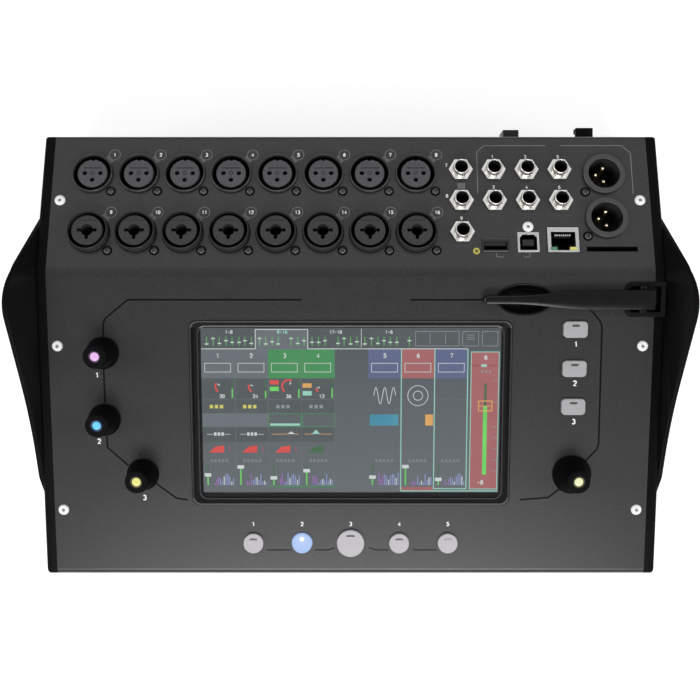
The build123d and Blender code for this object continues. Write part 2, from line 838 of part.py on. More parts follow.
def combo_insert():
    """Contact block of a combination socket, with a quarter-inch bore between its three contacts."""
    insert = rod(combo_insert_radius, -socket_floor_depth, combo_insert_rise)
    insert = fillet(insert.edges().group_by(Axis.Z)[-1], socket_edge_round)
    insert -= rod(jack_bore_radius, -combo_bore_depth, combo_insert_rise + 1)
    for x, y in combo_contact_spots:
        hole = rod(mic_contact_radius, combo_insert_rise - mic_contact_depth, combo_insert_rise + 1)
        insert -= Pos(x, y, 0) * hole
    return insert


def main_output_socket():
    """Housing of a main output: a flat ring round an open cup."""
    cup = rod(main_bore_radius, -main_floor_depth - main_insert_height, main_ring_rise + 1)
    return socket_housing(main_ring_radius, main_ring_rise, -1) - cup


def main_output_insert():
    """Disc in the cup's floor that holds the pins."""
    disc = rod(main_bore_radius - slip, -main_floor_depth - main_insert_height, -main_floor_depth)
    for x, y in main_pin_spots:
        disc -= Pos(x, y, 0) * rod(main_pin_radius, -main_floor_depth - main_insert_height - 1, 0)
    return disc


def main_output_pin():
    """One gold contact pin, rounded at its tip."""
    pin = rod(main_pin_radius - running, -main_floor_depth - main_insert_height, main_pin_rise)
    return fillet(pin.edges().group_by(Axis.Z)[-1], main_pin_radius * 0.6)


def jack_spots():
    """Places of the nine line jacks: column 0 is the one nearest the main outputs."""
    return [on_rear(jack_columns[column], jacks_v[row]) for column, row in jack_places]


def line_jack():
    """Quarter-inch jack: a body on the board and a threaded bushing through the panel."""
    jack = block(*jack_body_size, -connector_depth, -sheet) + rod(jack_thread_radius, -sheet, jack_tip_rise)
    jack = chamfer(jack.edges().group_by(Axis.Z)[-1], 0.4)
    return jack - rod(jack_bore_radius, -jack_bore_depth, jack_tip_rise + 1)


def jack_nut():
    """Hexagonal nut that clamps a jack to the panel, corners pointing left and right."""
    flats = nut_across_flats / 2
    spread = nut_height / math.tan(math.radians(nut_crown_angle))
    nut = extrude(RegularPolygon(flats, 6, major_radius=False), nut_height)
    nut &= Pos(0, 0, nut_height / 2) * Cone(flats + spread, flats, nut_height)
    return nut - rod(jack_thread_radius + running, -1, nut_height + 1)


def port_sizes():
    """Centre and outline of the three square ports, under the three nearest jack columns."""
    sizes = (usb_a_size, usb_b_size, network_size)
    columns = (jack_columns[2], jack_columns[1], jack_columns[0])
    return [(column + shift, size) for column, shift, size in zip(columns, port_shifts, sizes)]


def port_shell(size, mouth):
    """Metal shell of a port, open at the front, on the connector board."""
    return block(*size, -connector_depth, port_rise) - block(*mouth, -port_mouth_depth, port_rise + 1)


def port_place(index):
    """Place of a square port; all three stand on one line."""
    x, size = port_sizes()[index]
    return on_rear(x, port_foot_v + size[1] / 2)


def usb_a_contact_tongue():
    """Plastic tongue in the upper half of the wide port's mouth."""
    offset = (usb_a_mouth[1] - usb_a_tongue[1]) / 2 - usb_a_tongue_room
    return port_place(0) * Pos(0, offset, 0) * block(*usb_a_tongue, -port_mouth_depth, -port_block_sink)


def usb_b_shell():
    """Shell of the square port, whose mouth has its two upper corners cut off."""
    mouth = block(*usb_b_mouth, -port_mouth_depth, port_rise + 1)
    mouth = chamfer(mouth.edges().filter_by(Axis.Z).group_by(Axis.Y)[-1], usb_b_chamfer)
    return port_place(1) * (block(*usb_b_size, -connector_depth, port_rise) - mouth)


def usb_b_contact_block():
    """Plastic block in the middle of the square port's mouth."""
    return port_place(1) * block(*usb_b_block, -port_mouth_depth, -port_block_sink)


def card_reader():
    """Card reader under the panel's slot."""
    body = block(*card_body_size, -connector_depth, -sheet)
    slot = [card_slot_size[0] - 2 * slip, card_slot_size[1] - 2 * slip]
    return on_rear(card_x, card_v) * (body - block(*slot, -connector_depth + card_slot_floor, 0))


def status_light():
    """Light pipe from the connector board to the panel."""
    pipe = rod(status_light_radius, -connector_depth, status_light_rise)
    pipe = fillet(pipe.edges().group_by(Axis.Z)[-1], status_light_rise * 0.8)
    return on_rear(light_x, status_light_v) * pipe


def connector_board():
    """Board that all the rear connectors are soldered to."""
    low, high = connector_board_v
    plate = block(
        panel_width - 2 * (sheet + board_side_gap),
        high - low,
        -connector_depth - board_thickness,
        -connector_depth,
    )
    return on_rear(0, (low + high) / 2) * plate


def board_post():
    """Threaded post between the panel and the connector board, for the screw among the connectors."""
    post = rod(board_post_radius, -connector_depth, -sheet)
    return on_rear(board_post_x, board_post_v) * (post - rod(panel_screw_shank, -tap_depth, 0))


# ---------------------------------------------------------------- rear wall
def power_inlet():
    """Low-voltage inlet, a square collar round a barrel socket."""
    flange = [size + 2 * inlet_flange for size in inlet_size]
    body = rounded(*inlet_size, inlet_corner, -inlet_inner_depth, inlet_reach)
    body += block(*flange, -2 * sheet, -sheet)
    bore = rod(inlet_bore_radius, inlet_floor - inlet_inner_depth, inlet_reach + 1)
    return on_rear_wall(inlet_x, inlet_z) * (body - bore)


def power_inlet_pin():
    """Centre contact of the inlet."""
    pin = rod(inlet_pin_radius, inlet_floor - inlet_inner_depth, inlet_reach - inlet_pin_sink)
    return on_rear_wall(inlet_x, inlet_z) * fillet(pin.edges().group_by(Axis.Z)[-1], inlet_pin_radius / 2)


def power_switch_body():
    """Switch frame clipped into the rear wall, with a well for the rocker."""
    neck = [size - 2 * switch_bezel_rise for size in switch_bezel]
    frame = rounded(*switch_bezel, switch_corner, 0, switch_bezel_rise) + block(*neck, -switch_depth, 0)
    opening = [size + 2 * gap for size in rocker_size]
    well = block(*opening, switch_floor - switch_depth, switch_bezel_rise + 1)
    frame = on_rear_wall(switch_x, switch_z) * (frame - well)
    reach = rocker_size[0] + 2 * (gap + rocker_axle_reach)
    return frame - rocker_place() * Rot(0, 90, 0) * Cylinder(rocker_axle_radius + running, reach)


def rocker_place():
    """The rocker's pivot, across the switch."""
    return on_rear_wall(switch_x, switch_z) * Pos(0, 0, switch_bezel_rise - rocker_sink)


def power_switch_rocker():
    """Rocker with a shallow V face on a cross axle, resting with its lower half pressed in."""
    width, length = rocker_size
    reach = length / 2 - rocker_end_room
    tip = reach * math.tan(math.radians(rocker_angle))
    profile = Polyline(
        (-reach, rocker_face + tip),
        (0, rocker_face),
        (reach, rocker_face + tip),
        (reach - rocker_taper, -rocker_depth),
        (rocker_taper - reach, -rocker_depth),
        close=True,
    )
    body = extrude(Plane.YZ * make_face(profile), width / 2, both=True)
    body += Rot(0, 90, 0) * Cylinder(rocker_axle_radius, width + 2 * rocker_axle_reach)
    return rocker_place() * Rot(rocker_angle, 0, 0) * body


def cable_hook():
    """Hook that the supply lead is pushed up into: a foot on the rear wall, a shelf and a hanging lip."""
    foot_y = -hook_foot_height / 2
    foot = Pos(0, foot_y, 0) * rounded(hook_width, hook_foot_height, hook_corner, 0, hook_foot_thickness)
    shelf = Pos(0, -hook_stem / 2, 0) * block(hook_width, hook_stem, 0, hook_reach)
    lip = block(hook_width, hook_lip_height, hook_reach - hook_lip, hook_reach)
    lip = fillet(lip.edges().filter_by(Axis.Z).group_by(Axis.Y)[0], hook_corner)
    return on_rear_wall(hook_x, hook_top) * (foot + shelf + Pos(0, -hook_lip_height / 2, 0) * lip)


# ---------------------------------------------------------------- inside
def main_board():
    """Processor board on four standoffs over the tray's floor."""
    top = tray_floor_top + main_board_height + board_thickness
    board = block(*main_board_size, tray_floor_top + main_board_height, top)
    board = Pos(0, main_board_y, 0) * board
    for x, y in standoff_spots():
        board -= Pos(x, y, 0) * rod(panel_screw_shank, 0, top + 1)
    return board


def board_standoffs():
    """Threaded standoffs under the main board."""
    post = rod(standoff_radius, tray_floor_top, tray_floor_top + main_board_height)
    post -= rod(panel_screw_shank, tray_floor_top - 1, tray_floor_top + main_board_height + 1)
    return [Pos(x, y, 0) * post for x, y in standoff_spots()]


def board_screws():
    """Screws that hold the main board to its standoffs."""
    one = screw(board_screw_head, inner_screw_height, panel_screw_shank - slip, screw_length)
    top = tray_floor_top + main_board_height + board_thickness
    return [Pos(x, y, top) * one for x, y in standoff_spots()]


# ---------------------------------------------------------------- write every node
save("top_panel", top_panel())
save("base_tray", base_tray())
left_side, right_side = cheeks()
save("left_cheek", left_side)
save("right_cheek", right_side)
save("panel_screws", *panel_screws())
save("cheek_screws", *cheek_screws())
save("base_screws", *base_screws())
save("socket_screws", *socket_screws())
save("rubber_feet", *rubber_feet())

save("display_bezel", display_bezel())
save("touch_glass", touch_glass())
save("lcd_module", lcd_module())
save("control_board", control_board())
for number, ((x, v), radius) in enumerate(zip(knob_places, knob_radii), 1):
    save(f"knob_cap_{number}", on_front(x, v) * knob_cap(radius))
    save(f"knob_shaft_{number}", on_front(x, v) * knob_shaft())
save("encoder_bodies", *[on_front(x, v) * encoder_body() for x, v in knob_places])
for number, (x, v, radius) in enumerate(round_keys, 1):
    save(f"round_key_{number}", on_front(x, v) * round_key(radius))
for number, v in enumerate(soft_keys_v, 1):
    save(f"soft_key_{number}", on_front(soft_key_x, v) * soft_key())
save("key_switches", *[place * key_switch() for place in key_spots()])

save("antenna_bracket", antenna_bracket())
save("antenna_pin", antenna_pin())
save("antenna_blade", antenna_blade())
save("finger_scoop", finger_scoop())

save("mic_sockets", *[on_rear(x, mic_v) * mic_socket() for x in mic_xs])
save("mic_inserts", *[on_rear(x, mic_v) * mic_insert() for x in mic_xs])
save("combo_sockets", *[on_rear(x, combo_v) * combo_socket() for x in mic_xs])
save("combo_inserts", *[on_rear(x, combo_v) * combo_insert() for x in mic_xs])
save("main_output_sockets", *[on_rear(main_x, v) * main_output_socket() for v in mains_v])
save("main_output_inserts", *[on_rear(main_x, v) * main_output_insert() for v in mains_v])
pins = [on_rear(main_x + x, v + y) * main_output_pin() for v in mains_v for x, y in main_pin_spots]
save("main_output_pins", *pins)
save("line_jacks", *[place * line_jack() for place in jack_spots()])
save("jack_nuts", *[place * jack_nut() for place in jack_spots()])
save("usb_a_shell", port_place(0) * port_shell(usb_a_size, usb_a_mouth))
save("usb_b_shell", usb_b_shell())
save("usb_contact_blocks", usb_a_contact_tongue(), usb_b_contact_block())
save("network_socket", port_place(2) * port_shell(network_size, network_mouth))
save("card_reader", card_reader())
save("status_light", status_light())
save("connector_board", connector_board())
save("board_post", board_post())

save("power_inlet", power_inlet())
save("power_inlet_pin", power_inlet_pin())
save("power_switch_body", power_switch_body())
save("power_switch_rocker", power_switch_rocker())
save("cable_hook", cable_hook())

save("main_board", main_board())
save("board_standoffs", *board_standoffs())
save("board_screws", *board_screws())
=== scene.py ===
"""A compact digital mixing desk: a bent steel panel between two moulded cheeks, dressed for a studio picture.

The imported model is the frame: +X to the right of the person at the desk, +Y to the rear, +Z up. It is in metres,
and the sizes here are in millimetres. The camera comes first, and then one section for each group of pieces.
"""

import json
import math

import bpy
from mathutils import Matrix, Vector

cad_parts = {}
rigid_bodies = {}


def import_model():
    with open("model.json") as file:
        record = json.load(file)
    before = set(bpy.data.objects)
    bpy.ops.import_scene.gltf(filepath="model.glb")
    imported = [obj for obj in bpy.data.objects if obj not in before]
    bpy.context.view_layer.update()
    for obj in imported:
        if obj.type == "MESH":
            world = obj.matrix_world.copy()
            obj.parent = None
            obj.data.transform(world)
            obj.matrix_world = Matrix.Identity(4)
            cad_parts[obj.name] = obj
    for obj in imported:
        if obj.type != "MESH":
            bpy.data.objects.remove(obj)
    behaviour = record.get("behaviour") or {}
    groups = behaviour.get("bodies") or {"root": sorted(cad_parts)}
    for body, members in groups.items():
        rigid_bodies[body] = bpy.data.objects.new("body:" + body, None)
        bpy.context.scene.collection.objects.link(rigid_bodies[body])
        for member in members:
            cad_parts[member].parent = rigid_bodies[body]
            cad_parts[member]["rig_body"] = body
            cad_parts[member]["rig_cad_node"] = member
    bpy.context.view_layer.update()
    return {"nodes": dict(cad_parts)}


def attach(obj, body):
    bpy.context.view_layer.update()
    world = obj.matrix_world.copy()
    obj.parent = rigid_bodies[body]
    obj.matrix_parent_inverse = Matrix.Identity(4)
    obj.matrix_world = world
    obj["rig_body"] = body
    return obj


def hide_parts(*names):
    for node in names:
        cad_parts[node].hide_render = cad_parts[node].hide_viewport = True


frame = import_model()
nodes = frame["nodes"]
mm = 0.001

# ---------------------------------------------------------------- studio
# The desk lies on a wide pale floor under soft lamps. The camera hangs straight above it, near enough for the
# sides of the tall parts to show, and its sensor and lens give the picture's narrow field of view.
camera_place = (-0.3 * mm, -1.0 * mm, 532.6 * mm)
sensor_width = 36.0
lens_in_picture_widths = 900 / 700
bpy.ops.object.camera_add(location=camera_place, rotation=(0, 0, 0))
camera = bpy.context.object
camera.name = "camera_above"
camera.data.sensor_width = sensor_width
camera.data.lens = sensor_width * lens_in_picture_widths
camera.data.clip_start = 0.05
bpy.context.scene.camera = camera
bpy.context.scene.view_settings.view_transform = "Standard"


def only(*pieces):
    """Selects these pieces alone and makes the first one active."""
    bpy.ops.object.select_all(action="DESELECT")
    for piece in pieces:
        piece.select_set(True)
    bpy.context.view_layer.objects.active = pieces[0]


def add(primitive, **sizes):
    """A new primitive, selected alone."""
    bpy.ops.object.select_all(action="DESELECT")
    primitive(**sizes)
    return bpy.context.object


def editing(started):
    """Starts or ends the editing of the active piece's mesh."""
    bpy.ops.object.mode_set(mode="EDIT" if started else "OBJECT")


class Amount:
    """A number that changes over a surface. A sum written with it adds the Math nodes that work it out."""

    def __init__(self, finish, socket):
        self.finish = finish
        self.socket = socket

    def math(self, operation, first, second):
        """The result of one Math node."""
        made = self.finish.node("ShaderNodeMath", {"operation": operation}, {0: first, 1: second})
        return Amount(self.finish, made.outputs[0])

    def __add__(self, other):
        return self.math("ADD", self, other)

    def __radd__(self, other):
        return self.math("ADD", other, self)

    def __sub__(self, other):
        return self.math("SUBTRACT", self, other)

    def __rsub__(self, other):
        return self.math("SUBTRACT", other, self)

    def __mul__(self, other):
        return self.math("MULTIPLY", self, other)

    def __rmul__(self, other):
        return self.math("MULTIPLY", other, self)

    def __gt__(self, other):
        return self.math("GREATER_THAN", self, other)

    def __lt__(self, other):
        return self.math("LESS_THAN", self, other)


class Finish:
    """One surface finish: a material, and the one call that adds a node to it."""

    def __init__(self, name, even={}):
        self.material = bpy.data.materials.new(name)
        self.material.use_nodes = True
        self.tree = self.material.node_tree
        self.shader = self.tree.nodes["Principled BSDF"]
        self.place = self.node("ShaderNodeTexCoord", {}, {}).outputs["Object"]
        self.feed(self.shader, even)

    def node(self, kind, settings, sockets):
        """Adds a node: its settings first, then the value or the link of each socket."""
        made = self.tree.nodes.new(kind)
        for setting, value in settings.items():
            if setting == "stops":
                for stop, (position, colour) in zip(made.color_ramp.elements, value):
                    stop.position = position
                    stop.color = colour
            else:
                setattr(made, setting, value)
        self.feed(made, sockets)
        return made

    def feed(self, node, sockets):
        """Gives each named socket of a node its value or its link."""
        for socket, value in sockets.items():
            if isinstance(value, Amount):
                value = value.socket
            if isinstance(value, bpy.types.NodeSocket):
                self.tree.links.new(value, node.inputs[socket])
            else:
                node.inputs[socket].default_value = value

    def noise(self, grain, detail=2.0):
        """Cloudy noise whose clouds are about grain millimetres across."""
        sockets = {"Vector": self.place, "Scale": 1 / (grain * mm), "Detail": detail}
        return Amount(self, self.node("ShaderNodeTexNoise", {}, sockets).outputs["Fac"])

    def mix(self, amount, first, second):
        """One colour turning into another as amount goes from 0 to 1."""
        made = self.node("ShaderNodeMix", {"data_type": "RGBA"}, {0: amount, 6: first, 7: second})
        return made.outputs[2]

    def bump(self, height, depth):
        """Raises the surface by depth, in millimetres, where height is 1."""
        made = self.node("ShaderNodeBump", {}, {"Height": height, "Distance": depth * mm})
        self.feed(self.shader, {"Normal": made.outputs["Normal"]})


def grey(level):
    """A neutral colour of that brightness."""
    return (level, level, level, 1.0)


def clouded(name, even, cloud, dark, light, rough=None, grit=None):
    """A finish whose tone wanders in clouds that wide in millimetres, between two colours or two greys.

    Its roughness goes with the clouds, from the first number up by the second. Grit is a fine bump, given by its
    grain and its depth in millimetres.
    """
    finish = Finish(name, even)
    clouds = finish.noise(cloud)
    first, second = [grey(tone) if isinstance(tone, float) else (*tone, 1) for tone in (dark, light)]
    finish.feed(finish.shader, {"Base Color": finish.mix(clouds, first, second)})
    if rough:
        finish.feed(finish.shader, {"Roughness": rough[0] + clouds * rough[1]})
    if grit:
        finish.bump(finish.noise(grit[0]), grit[1])
    return finish


# The floor is pale to the lamps, and to the camera, to gloss and to glass it is as bright as white paper,
# with the desk's shadow still on it.
floor_side = 12.0
floor_glow = 0.6
floor_paint = Finish("pale_floor", {"Roughness": 0.9, "Specular IOR Level": 0.0})
floor_paint.feed(floor_paint.shader, {"Base Color": grey(0.6)})
rays = floor_paint.node("ShaderNodeLightPath", {}, {})
seen = Amount(floor_paint, rays.outputs["Is Camera Ray"]) + Amount(floor_paint, rays.outputs["Is Glossy Ray"])
seen = seen + Amount(floor_paint, rays.outputs["Is Transmission Ray"])
floor_paint.feed(floor_paint.shader, {"Emission Color": grey(1.0), "Emission Strength": seen * floor_glow})
floor = add(bpy.ops.mesh.primitive_plane_add, size=floor_side)
floor.name = "floor"
floor.data.materials.append(floor_paint.material)

world = bpy.data.worlds.new("soft_room")
bpy.context.scene.world = world
world.use_nodes = True
world.node_tree.nodes["Background"].inputs["Color"].default_value = grey(1.0)
world.node_tree.nodes["Background"].inputs["Strength"].default_value = 0.25


def soft_lamp(name, place, width, height, power):
    """An oblong soft box that faces the middle of the desk."""
    bpy.ops.object.light_add(type="AREA", location=place)
    lamp = bpy.context.object
    lamp.name = name
    lamp.data.shape = "RECTANGLE"
    lamp.data.size = width
    lamp.data.size_y = height
    lamp.data.energy = power
    facing = Vector((0, 0, 0.05)) - Vector(place)
    lamp.rotation_euler = facing.to_track_quat("-Z", "Y").to_euler()


soft_lamp("front_soft_box", (0.0, -1.3, 1.42), 1.3, 0.7, 24)
soft_lamp("rear_soft_box", (0.0, 1.2, 1.67), 2.2, 0.9, 5.3)
soft_lamp("left_soft_box", (-1.6, 0.0, 1.0), 1.2, 0.6, 13)
soft_lamp("right_soft_box", (1.6, 0.0, 1.0), 1.2, 0.6, 13)

# ---------------------------------------------------------------- top panel
# The top panel is one bent sheet of steel with a dark grey powder coat, whose fine grain catches the light.
# It is screwed over the folded tray. Its two planes meet at the ridge: the control plane and the connector
# plane.
control_tilt = math.radians(7)
connector_fall = math.radians(13)
ridge = Vector((0, 38.0 * mm, 79.8 * mm))
panel_half = 153.6
coat_grain = 0.55
coat_cloud = 6
coat_depth = 0.012

coat = Finish("dark_grey_powder_coat", {"Specular IOR Level": 0.5})
speckle = coat.noise(coat_grain, 3.0)
cloud = coat.noise(coat_cloud, 1.0)
coat_colour = coat.mix(speckle * 2.2 - 0.6, (0.0122, 0.0118, 0.0128, 1), (0.0325, 0.031, 0.0335, 1))
coat.feed(coat.shader, {"Base Color": coat_colour, "Roughness": 0.31 + cloud * 0.06})
coat.bump(speckle, coat_depth)


def dress(finish, *names):
    """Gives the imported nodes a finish."""
    for name in names:
        for held in nodes[name].material_slots:
            held.material = finish.material


dress(coat, "top_panel")


def moved(x, y, z=0.0):
    """A shift in millimetres."""
    return Matrix.Translation((x * mm, y * mm, z * mm))


def on_control(x, v, h=0.0):
    """A place on the control plane: x across, v up the plane from the ridge, h out of it."""
    return Matrix.Translation(ridge) @ Matrix.Rotation(control_tilt, 4, "X") @ moved(x, v, h)


def on_connector(x, v, h=0.0):
    """A place on the connector plane: x across, v down the plane from the ridge, h out of it."""
    return Matrix.Translation(ridge) @ Matrix.Rotation(-connector_fall, 4, "X") @ moved(x, v, h)


# ---------------------------------------------------------------- screen prints
# Lines, plain numbers and small marks are printed on the powder coat in white, grey and black ink, a few
# hundredths of a millimetre thick.
ink_height = 0.04


def settle(piece, place):
    """Sets a finished piece down at its place, with the place in its mesh."""
    only(piece)
    piece.matrix_world = place @ piece.matrix_world
    bpy.ops.object.transform_apply(location=True, rotation=True, scale=True)
    return piece


def together(name, pieces, body, finish=None):
    """Joins pieces into one, names it, and lets it ride on its body."""
    only(*pieces)
    if len(pieces) > 1:
        bpy.ops.object.join()
    whole = bpy.context.view_layer.objects.active
    whole.name = name
    whole.data.name = name
    if finish:
        whole.data.materials.clear()
        whole.data.materials.append(finish.material)
    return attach(whole, body)


def wire(points):
    """A run of edges through points on the ground plane."""
    run = add(bpy.ops.mesh.primitive_plane_add, size=mm)
    editing(True)
    bpy.ops.mesh.merge(type="CENTER")
    bpy.ops.transform.translate(value=(points[0][0] * mm, points[0][1] * mm, 0))
    for start, end in zip(points, points[1:]):
        step = ((end[0] - start[0]) * mm, (end[1] - start[1]) * mm, 0)
        bpy.ops.mesh.extrude_vertices_move(TRANSFORM_OT_translate={"value": step})
    editing(False)
    return run


def ink_line(points, width, bend, place):
    """A printed line through points on a plane, with its corners rounded by bend."""
    line = wire(points)
    if bend:
        for vertex in line.data.vertices:
            vertex.select = 0 < vertex.index < len(points) - 1
        editing(True)
        bpy.ops.mesh.bevel(affect="VERTICES", offset=bend * mm, segments=5)
        editing(False)
    return ink_wire(width, place)


def ink_wire(width, place):
    """Turns the active wire into a flat printed line of that width."""
    bpy.ops.object.convert(target="CURVE")
    line = bpy.context.object
    line.data.bevel_depth = width / 2 * mm
    line.data.bevel_resolution = 1
    bpy.ops.object.convert(target="MESH")
    line.scale.z = ink_height / width
    return settle(line, place)


def ring_part(x, y, wide, tall, start, end, steps=12):
    """Points round part of an oval, in degrees from the right."""
    turns = [math.radians(start + (end - start) * i / steps) for i in range(steps + 1)]
    return [(x + wide * math.cos(turn), y + tall * math.sin(turn)) for turn in turns]


# Each numeral is one stroke or two, on a field one high.
six_back = [(0.02, 0.34), (0.05, 0.58), (0.16, 0.8), (0.32, 0.93), (0.5, 1.0)]
numeral_strokes = {
    "0": [ring_part(0.3, 0.5, 0.3, 0.5, 0, 360, 20)],
    "1": [[(0.08, 0.76), (0.36, 1.0), (0.36, 0.0)]],
    "2": [ring_part(0.3, 0.7, 0.3, 0.3, 165, -38) + [(0.0, 0.0), (0.62, 0.0)]],
    "3": [ring_part(0.28, 0.75, 0.26, 0.25, 150, -80), ring_part(0.28, 0.27, 0.31, 0.27, 85, -150)],
    "4": [[(0.46, 0.0), (0.46, 1.0), (0.0, 0.3), (0.66, 0.3)]],
    "5": [[(0.56, 1.0), (0.12, 1.0), (0.07, 0.54)], ring_part(0.28, 0.31, 0.32, 0.31, 125, -150)],
    "6": [ring_part(0.31, 0.31, 0.29, 0.31, 0, 360, 18), six_back],
    "7": [[(0.0, 1.0), (0.6, 1.0), (0.2, 0.0)]],
    "8": [ring_part(0.3, 0.76, 0.24, 0.24, 0, 360, 18), ring_part(0.3, 0.27, 0.29, 0.27, 0, 360, 18)],
    "9": [ring_part(0.29, 0.69, 0.29, 0.31, 0, 360, 18), [(0.6 - x, 1 - y) for x, y in six_back]],
    "-": [[(0.08, 0.45), (0.5, 0.45)]],
}
numeral_stroke = 0.27
numeral_pitch = 0.86
numerals = {}
for letter, strokes in numeral_strokes.items():
    runs = [ink_line(stroke, numeral_stroke, 0, Matrix()) for stroke in strokes]
    only(*runs[::-1])
    if len(runs) > 1:
        bpy.ops.object.join()
    numerals[letter] = bpy.context.object.data
    bpy.data.objects.remove(bpy.context.object)


def ink_number(text, height, place):
    """A printed number in rounded strokes, centred on its place."""
    figures = []
    size = height / (1 + numeral_stroke)
    for count, letter in enumerate(str(text)):
        figure = bpy.data.objects.new("figure", numerals[letter].copy())
        bpy.context.collection.objects.link(figure)
        across = (count - (len(str(text)) - 1) / 2) * numeral_pitch - 0.3
        spot = place @ Matrix.Diagonal((size, size, 1, 1)) @ moved(across, -0.5, ink_height)
        figures.append(settle(figure, spot))
    only(*figures)
    if len(figures) > 1:
        bpy.ops.object.join()
    return bpy.context.object


white_ink = clouded("white_ink", {"Roughness": 0.55}, 0.4, 0.8, 0.9)
grey_ink = clouded("grey_ink", {"Roughness": 0.55}, 0.4, 0.18, 0.24)
black_ink = clouded("black_ink", {"Roughness": 0.5, "Specular IOR Level": 0.1}, 0.4, 0.002, 0.004)

# Black lines run from knob to knob and round the screen, and between the round keys.
line_width = 0.92
line_bend = 2.5
left_route = [(-24.8, -13.75), (-112.7, -13.75), (-125.4, -24.2), (-125.9, -49.3)]
left_middle = [(-125.9, -49.3), (-125.7, -66.9)]
left_lower = [(-125.4, -84.0), (-125.2, -89.9), (-114.7, -99.4)]
left_end = [(-100.8, -108.8), (-90.4, -116.7), (-84.6, -117.6)]
right_route = [(30.3, -13.75), (82.0, -13.75)]
right_upper = [(116.0, -14.6), (122.0, -19.4), (127.4, -25.8), (127.75, -89.9), (120.7, -97.5)]
right_end = [(108.6, -111.4), (102.5, -116.4), (88.0, -117.6)]
routes = [left_route, left_middle, left_lower, left_end, right_route, right_upper, right_end]
black_lines = [
    ink_line(route, line_width, line_bend, on_control(0, 0, ink_height / 2))
    for route in routes
]
together("printed_black_lines", black_lines, "desk", black_ink)

# A thin pale outline gathers the round outputs, and a thin bracket stands under the two square ports.
outline_width = 0.32
outline_left = [(65.35, 42.5), (65.5, 65.5), (69.2, 69.1), (101.4, 69.1)]
outline_right = [(109.2, 69.1), (140.9, 69.1), (145.3, 65.1), (145.2, 42.5)]
bracket_left = [(73.6, 10.4), (73.8, 8.3), (77.3, 8.15)]
bracket_right = [(87.9, 8.15), (90.6, 8.3), (90.8, 10.4)]
grey_lines = [
    ink_line(route, outline_width, 0.8, on_connector(0, 0, ink_height / 2))
    for route in (outline_left, outline_right, bracket_left, bracket_right)
]
together("printed_grey_lines", grey_lines, "desk", grey_ink)

# ---------------------------------------------------------------- base tray and feet
# The tray is folded steel with a black powder coat. Four rubber feet are pegged through its floor, and black
# screws hold it to the returns of the top panel.
black_coat = Finish("black_powder_coat", {"Specular IOR Level": 0.4})
black_speckle = black_coat.noise(coat_grain, 3.0)
black_colour = black_coat.mix(black_speckle, grey(0.012), grey(0.026))
black_coat.feed(black_coat.shader, {"Base Color": black_colour, "Roughness": 0.45 + black_speckle * 0.15})
black_coat.bump(black_speckle, coat_depth)
dress(black_coat, "base_tray")

foot_rubber = Finish("foot_rubber", {"Specular IOR Level": 0.3})
rubber_dust = foot_rubber.noise(1.5, 4.0)
foot_rubber.feed(foot_rubber.shader, {"Base Color": foot_rubber.mix(rubber_dust, grey(0.01), grey(0.03))})
foot_rubber.feed(foot_rubber.shader, {"Roughness": 0.7 + rubber_dust * 0.2})
foot_rubber.bump(foot_rubber.noise(0.3), 0.02)
dress(foot_rubber, "rubber_feet")

# ---------------------------------------------------------------- cheeks
# Each cheek is one glass-filled moulding with a spark-eroded skin: a plate flush with the panel and a fin that
# leans outward in a long low wave. Its edges are rounded in the mould, so they catch a thin line of light.
moulding = clouded(
    "black_moulding", {"Specular IOR Level": 0.07}, 9, (0.0013, 0.0015, 0.0014), (0.0022, 0.0025, 0.0024)
)
spark = moulding.noise(0.35, 2.0)
moulding.feed(moulding.shader, {"Roughness": 0.42 + spark * 0.16})
moulding.bump(spark, 0.02)


def softened(node, edge, angle=30):
    """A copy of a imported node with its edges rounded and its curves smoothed."""
    only(nodes[node])
    bpy.ops.object.duplicate()
    piece = bpy.context.object
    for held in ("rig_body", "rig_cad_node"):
        del piece[held]
    piece.parent = None
    editing(True)
    bpy.ops.mesh.select_all(action="SELECT")
    bpy.ops.mesh.remove_doubles(threshold=0.002 * mm)
    bpy.ops.mesh.dissolve_limited(angle_limit=math.radians(0.5))
    editing(False)
    if edge:
        round_edges(piece, edge, angle)
    bpy.ops.object.shade_smooth_by_angle(angle=math.radians(angle))
    return piece


def round_edges(piece, edge, angle=30, segments=3):
    """Rounds every edge sharper than angle, and applies it."""
    bpy.context.view_layer.objects.active = piece
    bpy.ops.object.modifier_add(type="BEVEL")
    bevel = piece.modifiers[-1]
    bevel.width = edge * mm
    bevel.segments = segments
    bevel.limit_method = "ANGLE"
    bevel.angle_limit = math.radians(angle)
    bevel.harden_normals = True
    bpy.ops.object.modifier_apply(modifier=bevel.name)


cheek_edge = 0.5
for side in ("left", "right"):
    cheek = softened(f"{side}_cheek", cheek_edge)
    together(f"{side}_cheek_moulding", [cheek], "desk", moulding)
    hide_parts(f"{side}_cheek")

# ---------------------------------------------------------------- screws
# The panel's screws have smooth white-painted heads and are made further down. The other screws are black zinc.
white_paint = clouded("white_screw_paint", {"Roughness": 0.35}, 1.2, 0.8, 0.9)
zinc = clouded("black_zinc", {"Metallic": 0.6}, 0.8, 0.03, 0.09, (0.3, 0.2))
dress(zinc, "cheek_screws", "base_screws")

# ---------------------------------------------------------------- microphone sockets
# Eight three-pole sockets stand in a row at the rear. Each is a dark moulded ring round a deep groove, painted
# black as shade, and a grey contact block with three holes, a small centre ring, an engraved line and notches for
# the plug's keys.
socket_pitch = 23.82
first_socket_x = 20.5 - panel_half
mic_row = 53.4
mic_floor = -17.5


